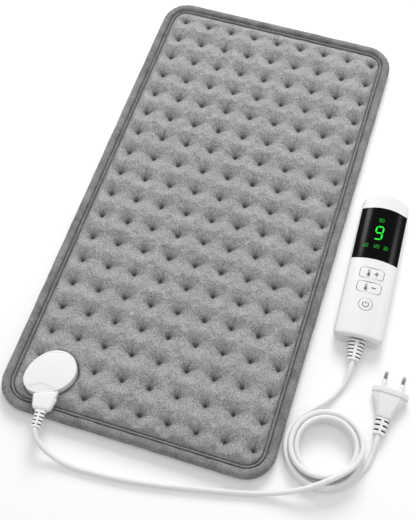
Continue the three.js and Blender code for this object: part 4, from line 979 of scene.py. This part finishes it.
flex_boot("connector_flex_boot", CONNECTOR_FRAME, "connector_boot",
          CONNECTOR_END - 0.3, 18.5, 12, 8.8, 9.6, 4, 0.16)


# The handset: two glossy white shells that meet at the widest line, with a domed front.
# Its low end is nearly square and its top end arched.
HANDSET_LENGTH = 185.0
HANDSET_HALF = 26.75
HANDSET_TOP = 23.0
WIDEST = 10.5
SHOULDER = (23.75, 16.6)
FLAT_HALF = 17.0
TOP_CORNER = 13.0
TOP_CURVE = 4.0
TOP_ARCH = 2.0
LOW_CORNER = 5.0
END_ROUND = (4.0, 5.0)
SPLIT = 0.12


def bent(a, b, c, count):
    """Points along a curve from a to c that b draws out, without the last."""
    return [((1 - t) ** 2 * a[0] + 2 * t * (1 - t) * b[0] + t * t * c[0],
             (1 - t) ** 2 * a[1] + 2 * t * (1 - t) * b[1] + t * t * c[1])
            for t in np.linspace(0, 1, count, endpoint=False)]


def handset_front_form(inset):
    """Half width, far shoulder, and the curves of one side and of the front, at an inset."""
    wide = HANDSET_HALF - inset
    shoulder = (wide - HANDSET_HALF + SHOULDER[0], SHOULDER[1] - inset)
    other = (-shoulder[0], shoulder[1])
    bulge = (WIDEST + shoulder[1] + HANDSET_HALF - SHOULDER[0]) / 2

    def side(count):
        return bent((wide, WIDEST), (wide, bulge), shoulder, count)

    def front(count):
        return bent(shoulder, (0, 2 * (HANDSET_TOP - inset) - shoulder[1]), other, count)
    return wide, other, side, front


def handset_section(inset):
    wide, shoulder, side, front = handset_front_form(inset)
    flat = FLAT_HALF - inset / 2
    half = bent((flat, inset), (wide, inset), (wide, WIDEST), 10) + side(8)
    under = [(u, inset) for u in np.linspace(-flat, flat, 10, endpoint=False)][1:]
    return half + front(40) + [shoulder] + [(-u, z) for u, z in reversed(half)] + under


def low_end(u, inset):
    corner = max(abs(u) - (HANDSET_HALF - inset - LOW_CORNER), 0)
    return LOW_CORNER - math.sqrt(max(LOW_CORNER ** 2 - corner ** 2, 0))


def top_end(u, inset):
    wide = HANDSET_HALF - inset
    arch = wide - TOP_CORNER
    if abs(u) <= arch:
        return HANDSET_LENGTH - TOP_ARCH * (u / arch) ** 2
    t = math.sqrt(max((wide - abs(u)) / TOP_CORNER, 0))
    return HANDSET_LENGTH - TOP_CORNER * (1 - t) ** 2 - 2 * TOP_CURVE * t * (1 - t) - TOP_ARCH * t * t


def front_level(u):
    return SHOULDER[1] + (HANDSET_TOP - SHOULDER[1]) * (1 - (u / SHOULDER[0]) ** 2)


END_TURNS = np.linspace(0, 90, 9)
handset_rings = []
for c, s in map(heading, END_TURNS[:-1]):
    inset = END_ROUND[0] * (1 - s)
    handset_rings.append([(u, low_end(u, inset) + END_ROUND[0] * (1 - c), z)
                          for u, z in handset_section(inset)])
for t in np.linspace(0, 1, 70):
    handset_rings.append([
        (u, (1 - t) * (low_end(u, 0) + END_ROUND[0]) + t * (top_end(u, 0) - END_ROUND[1]), z)
        for u, z in handset_section(0)])
for c, s in map(heading, END_TURNS[1:]):
    inset = END_ROUND[1] * (1 - c)
    handset_rings.append([(u, top_end(u, inset) - END_ROUND[1] * (1 - s), z)
                          for u, z in handset_section(inset)])
handset_form = from_frame(HANDSET_FRAME, loft(handset_rings))


def cut_level(name, points_and_faces, level, keep_above):
    """The part of a closed form above or below a level, closed again."""
    obj = mesh_object(name, *points_and_faces)
    bm = bmesh.new()
    bm.from_mesh(obj.data)
    bmesh.ops.recalc_face_normals(bm, faces=bm.faces)
    cut = bmesh.ops.bisect_plane(bm, geom=bm.verts[:] + bm.edges[:] + bm.faces[:],
                                 plane_co=(0, 0, level * MM), plane_no=(0, 0, 1),
                                 clear_outer=not keep_above, clear_inner=keep_above)
    edges = [e for e in cut["geom_cut"] if isinstance(e, bmesh.types.BMEdge)]
    bmesh.ops.contextual_create(bm, geom=edges)
    bmesh.ops.recalc_face_normals(bm, faces=bm.faces)
    bm.to_mesh(obj.data)
    bm.free()
    return obj


handset_front = cut_level("handset_front", handset_form, WIDEST + SPLIT, True)
handset_back = cut_level("handset_back", handset_form, WIDEST - SPLIT, False)
KEYS = (("warmer", 77.4, 26.0, 12.6, 3.4), ("cooler", 59.9, 26.0, 12.6, 3.4),
        ("power", 38.7, 14.4, 14.4, 7.2))
KEY_ROOM = 0.55
KEY_FLOOR = 17.0


def key_outline(middle, width, length, corner, grow):
    corner = min(corner, length / 2 - 0.01) + grow
    return [(u, middle + v) for u, v in round_corners(width / 2 + grow, length / 2 + grow, corner, 9)]


for name, middle, width, length, corner in KEYS:
    outline = key_outline(middle, width, length, corner, KEY_ROOM)
    well = mesh_object("key_well", *from_frame(HANDSET_FRAME, loft(
        [[(u, v, z) for u, v in outline] for z in (KEY_FLOOR, 2 * HANDSET_TOP)])))
    carve(handset_front, well)
HANDSET_WHITE = moulded("handset_white", (0.82, 0.82, 0.825), 0.32, 0.05)
dressed(handset_front, HANDSET_WHITE, "lead_set", ("handset_front_shell",), 35)
dressed(handset_back, HANDSET_WHITE, "lead_set", ("handset_back_shell",), 35)

flex_boot("handset_flex_boot", HANDSET_FRAME, "handset_boot", -0.3, 23, 19.0, 13, 13.2, 5, 0.10, 9.0)


# The keys: moulded white caps that stand a little proud in their wells and clear the wells' floors
# when pressed. Each has a printed grey sign.
KEY_PROUD = 0.5
KEY_LIFT = 1.0
KEY_EDGE = ((0, 0.55), (0.12, 0.22), (0.4, 0.04), (0.8, 0), (2, 0), (3.4, 0), (4.8, 0))
SIGN_SUNK, SIGN_PROUD = 0.15, 0.04
KEY_CAP = moulded("key_cap", (0.83, 0.83, 0.835), 0.34, 0.05)
SIGN_GREY = moulded("printed_sign", (0.09, 0.09, 0.095), 0.5, 0.05)


def key_face(u):
    return front_level(u) + KEY_PROUD


for name, middle, width, length, corner in KEYS:
    rings = [[(u, v, KEY_FLOOR + KEY_LIFT) for u, v in key_outline(middle, width, length, corner, 0)]]
    for shrink, drop in KEY_EDGE:
        ring = key_outline(middle, width - 2 * shrink, length - 2 * shrink, max(corner - shrink, 0.6), 0)
        rings.append([(u, v, key_face(u) - drop) for u, v in ring])
    cap = mesh_object(f"{name}_cap", *from_frame(HANDSET_FRAME, loft(rings)))
    dressed(cap, KEY_CAP, f"{name}_button", (f"{name}_key",), 50)


def ribbon(points, width, closed=False):
    """Outline of a drawn line of even width, as quads."""
    p = np.array(points, float)
    before = np.roll(p, 1, axis=0)
    after = np.roll(p, -1, axis=0)
    if not closed:
        before[0], after[-1] = p[0], p[-1]
    along = after - before
    along /= np.linalg.norm(along, axis=1, keepdims=True)
    side = np.column_stack([-along[:, 1], along[:, 0]]) * width / 2
    count = len(p) if closed else len(p) - 1
    return [[p[i] - side[i], p[(i + 1) % len(p)] - side[(i + 1) % len(p)],
             p[(i + 1) % len(p)] + side[(i + 1) % len(p)], p[i] + side[i]] for i in range(count)]


def arc(middle, radius, start, end, count=24):
    return [(middle[0] + radius * c, middle[1] + radius * s)
            for c, s in map(heading, np.linspace(start, end, count))]


def printed(name, shapes, level_at, material, body):
    """Thin flat shapes laid on a surface of the handset."""
    plates = joined(loft([[(u, v, level_at(u) + z) for u, v in shape] for z in (-SIGN_SUNK, SIGN_PROUD)])
                    for shape in shapes)
    dressed(mesh_object(name, *from_frame(HANDSET_FRAME, plates)), material, body, (), 30)


def thermometer(u, v):
    tube = arc((u, v + 2.6), 0.85, 0, 180, 10) + [(u - 0.85, v - 1.0)]
    tube += arc((u, v - 2.2), 1.45, 125, 415, 20) + [(u + 0.85, v - 1.0)]
    bulb = arc((u, v - 2.2), 0.95, 0, 345, 20)
    stem = [(u - 0.35, v - 2.2), (u + 0.35, v - 2.2), (u + 0.35, v + 0.6), (u - 0.35, v + 0.6)]
    return ribbon(tube, 0.4, True) + [bulb, stem]


def bar(u, v, width, length):
    return [(u - width / 2, v - length / 2), (u + width / 2, v - length / 2),
            (u + width / 2, v + length / 2), (u - width / 2, v + length / 2)]


printed("warmer_sign", thermometer(-3.6, 77.4) + [bar(5.2, 77.4, 5.4, 0.8), bar(5.2, 77.4, 0.8, 5.4)],
        key_face, SIGN_GREY, "warmer_button")
printed("cooler_sign", thermometer(-3.6, 59.9) + [bar(5.2, 59.9, 5.2, 0.8)],
        key_face, SIGN_GREY, "cooler_button")
printed("power_sign", ribbon(arc((0, 38.5), 3.2, 125, 415, 30), 0.95) + [bar(0, 40.6, 0.95, 3.8)],
        key_face, SIGN_GREY, "power_button")


# The display: a black glossy lens that wraps over the domed front and is let into it.
# Lit green figures show on it.
LENS_LOW, LENS_HIGH = 95.4, 159.0
LENS_EDGE = 15.0
LENS_THICK = 1.4
LENS_PROUD = 0.1
LENS_ARCH = 4.0
FIGURE_PROUD = 0.02
BLACK_LENS = moulded("black_lens", (0.0012, 0.0012, 0.0013), 0.16, 0.0, 0.09)


def lens_section(inset):
    """The front's outline from the lens's edge on one side to the other."""
    _, shoulder, side, front = handset_front_form(inset)
    edge = [(u, z) for u, z in side(40) if z > LENS_EDGE]
    edge = [edge[int(k)] for k in np.linspace(0, len(edge) - 1, 6)]
    return edge + front(44) + [shoulder] + [(-u, z) for u, z in reversed(edge)]


def lens_top(u):
    return LENS_HIGH + LENS_ARCH * (1 - 2 * (u / (2 * HANDSET_HALF)) ** 2)


outer, inner = lens_section(-LENS_PROUD), lens_section(LENS_THICK)
lens_rings = []
for t in np.linspace(0, 1, 24):
    lens_rings.append([(u, LENS_LOW + (lens_top(u) - LENS_LOW) * t, z) for u, z in outer + inner[::-1]])
lens = mesh_object("display_window", *from_frame(HANDSET_FRAME, loft(lens_rings)))
dressed(lens, BLACK_LENS, "lead_set", ("display_lens",), 35)


def lit(name, color, strength):
    material = moulded(name, color, 0.4, 0.0, 0.2)
    tree = material.node_tree
    shader = tree.nodes["Principled BSDF"]
    tree.links.remove(shader.inputs["Base Color"].links[0])
    set_inputs(tree, shader, {"Emission Color": tree.nodes["Group"].outputs["Color"],
                              "Emission Strength": strength, "Base Color": (*(c * 0.2 for c in color), 1)})
    return material


SEGMENTS = {"a": ((0, 2), (1, 2)), "b": ((1, 2), (1, 1)), "c": ((1, 1), (1, 0)), "d": ((0, 0), (1, 0)),
            "e": ((0, 1), (0, 0)), "f": ((0, 2), (0, 1)), "g": ((0, 1), (1, 1))}
FIGURES = {"0": "abcdef", "1": "bc", "2": "abdeg", "3": "abcdg", "6": "acdefg", "9": "abcdfg"}
FIGURE_SLANT, FIGURE_PITCH, STROKE_TRIM = 0.06, 1.45, 0.30


def figure(text, u, v, width, high, stroke):
    """Seven-segment figures, each bar a thin six-sided plate."""
    shapes = []
    step = width * FIGURE_PITCH
    for n, sign in enumerate(text):
        left = u - step * (len(text) - 1) / 2 + n * step - width / 2
        for name in FIGURES[sign]:
            (x0, y0), (x1, y1) = SEGMENTS[name]
            a = np.array([left + x0 * width, v + (y0 - 1) * high / 2])
            b = np.array([left + x1 * width, v + (y1 - 1) * high / 2])
            along = (b - a) / np.linalg.norm(b - a)
            side = np.array([-along[1], along[0]]) * stroke / 2
            a, b = a + along * stroke * STROKE_TRIM, b - along * stroke * STROKE_TRIM
            tip = along * stroke / 2
            stops = [a + tip + (b - a - 2 * tip) * k / 6 for k in range(7)]
            plates = [[a, stops[0] - side, stops[0] + side], [b, stops[-1] + side, stops[-1] - side]]
            plates += [[p - side, q - side, q + side, p + side] for p, q in zip(stops, stops[1:])]
            shapes += [[(x + FIGURE_SLANT * (y - v), y) for x, y in plate] for plate in plates]
    return shapes


def lens_face(u):
    return front_level(u) + LENS_PROUD + FIGURE_PROUD


FIGURE_U = -2.0
printed("level_figure", figure("9", FIGURE_U, 129.6, 7.6, 16.4, 1.75), lens_face,
        lit("lit_green", (0.02, 0.90, 0.05), 1.0), "lead_set")
MINUTES = (("90", FIGURE_U, 146.4, 2.2, 4.2, 0.7), ("60", -13.6, 112, 1.9, 4.1, 0.65),
           ("120", FIGURE_U - 0.5, 112, 1.9, 4.1, 0.65), ("30", 8.4, 112, 1.9, 4.1, 0.65))
printed("minute_figures", [shape for sizes in MINUTES for shape in figure(*sizes)], lens_face,
        lit("dim_green", (0.005, 0.33, 0.02), 1.0), "lead_set")


# The mains plug: a flat moulded body with a wide flange, two round pins in white sleeves and a
# ribbed boot. The marks that such bodies carry are left off.
PLUG_LEVEL = 6.85


def bevelled(width, flat, high, band, y, soft=0.9):
    """A flat body's section: level faces of one width, bevels, and upright sides, with eased corners."""
    half = [(flat / 2, high / 2), (-flat / 2, high / 2), (-width / 2, band / 2), (-width / 2, -band / 2)]
    corners = np.array(half + [(-u, -z) for u, z in half])
    ring = []
    for before, here, after in zip(np.roll(corners, 1, axis=0), corners, np.roll(corners, -1, axis=0)):
        start = here + (before - here) / np.linalg.norm(before - here) * soft
        end = here + (after - here) / np.linalg.norm(after - here) * soft
        ring += bent(start, here, end, 5) + [tuple(end)]
    return [(u, y, PLUG_LEVEL + z) for u, z in ring]


plug_rings = [bevelled(*sizes) for sizes in (
    (37.0, 20.8, 12.4, 3.4, 0.0), (38.0, 21.8, 13.4, 4.2, -0.35), (38.4, 22.2, 13.7, 4.4, -0.9),
    (38.4, 22.2, 13.7, 4.4, -6.1), (38.1, 21.9, 13.4, 4.2, -6.5), (35.8, 20.6, 12.0, 3.6, -6.6),
    (35.4, 20.4, 11.9, 3.6, -7.4), (33.8, 19.8, 11.9, 3.6, -10), (31.2, 18.6, 11.9, 3.6, -13.5),
    (27.6, 16.8, 11.9, 3.6, -17), (24.0, 15.0, 11.8, 3.6, -20.5), (20.8, 13.4, 11.7, 3.8, -24),
    (18.4, 12.2, 11.5, 4.0, -27.5), (17.0, 11.4, 11.2, 4.2, -30.5), (16.4, 11.0, 10.9, 4.4, -32.2),
    (15.4, 10.2, 10.1, 4.0, -32.8), (14.0, 9.0, 9.0, 3.6, -33.0))]
plug_body = mesh_object("plug_housing", *from_frame(PLUG_FRAME, loft(plug_rings)))
dressed(plug_body, moulded("plug_white", (0.785, 0.785, 0.793), 0.42, 0.1), "lead_set",
        ("mains_plug_body",), 40)
plug_boot = flex_boot("plug_flex_boot", PLUG_FRAME, "plug_boot",
                      -33.3, 18, 15, 10.5, 11.6, 3, 0.12, PLUG_LEVEL)


def plated(name, color, grain, rough):
    """Bare metal with fine grain in its gloss; rough is the range of its roughness."""
    material, tree, shader = new_material(name)
    speck = add_node(tree, "TexNoise", {"Scale": grain})
    band = add_node(tree, "MapRange", {"Value": speck, "To Min": rough[0], "To Max": rough[1]})
    set_inputs(tree, shader, {"Base Color": (*color, 1), "Metallic": 1.0, "Roughness": band})
    return material


PIN_STEEL = plated("pin_steel", (0.42, 0.42, 0.427), 900, (0.14, 0.30))
PIN_OUT = 9.5
PIN_FORM = ((0.3, 2.4), (10.0, 2.4), (10.05, 3.6), (10.3, 4.0), (17.4, 4.0), (18.2, 3.6), (18.7, 2.9),
            (18.95, 1.8), (19, 0.6))
SLEEVE_FORM = ((0.1, 3.9), (0.2, 4.0), (9.4, 3.9), (9.8, 3.6), (9.85, 2.7), (0.1, 2.7))


def turned(form, x):
    """A round form along the plug's y axis, from its pairs of place and diameter."""
    rings = [[(u + x, y, z) for u, y, z in oval(d, d, y, PLUG_LEVEL, 2.0, 28)] for y, d in reversed(form)]
    return from_frame(PLUG_FRAME, loft(rings))


plug_parts = [plug_body, plug_boot]
for side, way in (("left", -1), ("right", 1)):
    pin_obj = mesh_object(f"round_pin_{side}", *turned(PIN_FORM, way * PIN_OUT))
    dressed(pin_obj, PIN_STEEL, "lead_set", (f"plug_pin_{side}",), 40)
    sleeve_obj = mesh_object(f"pin_collar_{side}", *turned(SLEEVE_FORM, way * PIN_OUT))
    dressed(sleeve_obj, WHITE_FLEX, "lead_set", (f"pin_sleeve_{side}",), 40)
    plug_parts += [pin_obj, sleeve_obj]

lead("mains_lead", mains_line, ("mains_lead_run", "mains_lead_coil"))


# The joint of the three leads: one soft moulding over their ends, between the turns of the coil,
# hardly thicker than the cord.
JOINT_WALL = 0.2
JOINT_OVERLAP = 3.0
JOINT_TIP = 0.93
joint_stops = [(JOINT_FROM - JOINT_OVERLAP, JOINT_TIP)]
joint_stops += [(turn, 1.0) for turn in np.linspace(JOINT_FROM, JOINT_TO, 14)]
joint_stops += [(JOINT_TO + JOINT_OVERLAP, JOINT_TIP)]
joint_rings = []
for turn, share in joint_stops:
    high = (JACKET / 2 + JOINT_WALL) * share
    section = arc((COIL_PITCH, 0), high, -90, 90, 9) + arc((0, 0), high, 90, 270, 9)
    joint_rings.append([coil_point(turn, COIL_INNER + d, LAYERS[1] + z) for d, z in section])
joint = mesh_object("lead_splice", *loft(joint_rings))
dressed(joint, CORD_JACKET, "lead_set", ("lead_joint",), 50)


# Pieces that stay as the model has them: everything inside the pad, the pod, the connector and the
# handset.
BOARD_GREEN = moulded("circuit_board", (0.03, 0.13, 0.06), 0.45)
BLACK_PART = moulded("black_part", (0.02, 0.02, 0.022), 0.5)
RED_PART = moulded("red_part", (0.42, 0.06, 0.04), 0.45)
WADDING = cloth("white_wadding", (0.62, 0.61, 0.59), (0.82, 0.81, 0.79), 400, (60, 0.3), 0.6, 0.2)
FUSE_GLASS = moulded("fuse_glass", (0.95, 0.97, 0.97), 0.06, 0.0)
FUSE_GLASS.node_tree.nodes["Principled BSDF"].inputs["Transmission Weight"].default_value = 1.0
INNER_METAL = (1200, (0.25, 0.45))
INSIDE = {
    WADDING: ("wadding",),
    RED_PART: ("heating_wire", "film_capacitor"),
    BLACK_PART: ("thermal_cutout", "display_module", "control_chip", "power_triac", "supply_capacitor",
                 "warmer_switch", "cooler_switch", "power_switch"),
    BOARD_GREEN: ("pod_board", "control_board"),
    WHITE_FLEX: ("warmer_plunger", "cooler_plunger", "power_plunger"),
    FUSE_GLASS: ("mains_fuse",),
    plated("screw_steel", (0.60, 0.60, 0.61), *INNER_METAL): (
        "pod_screw_1", "pod_screw_2", "handset_screw_1", "handset_screw_2"),
    plated("contact_brass", (0.72, 0.52, 0.20), *INNER_METAL): (
        "socket_contact_left", "socket_contact_right", "connector_blade_left", "connector_blade_right"),
}
for material, nodes in INSIDE.items():
    for node in nodes:
        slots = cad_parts[node].data.materials
        slots.clear()
        slots.append(material)
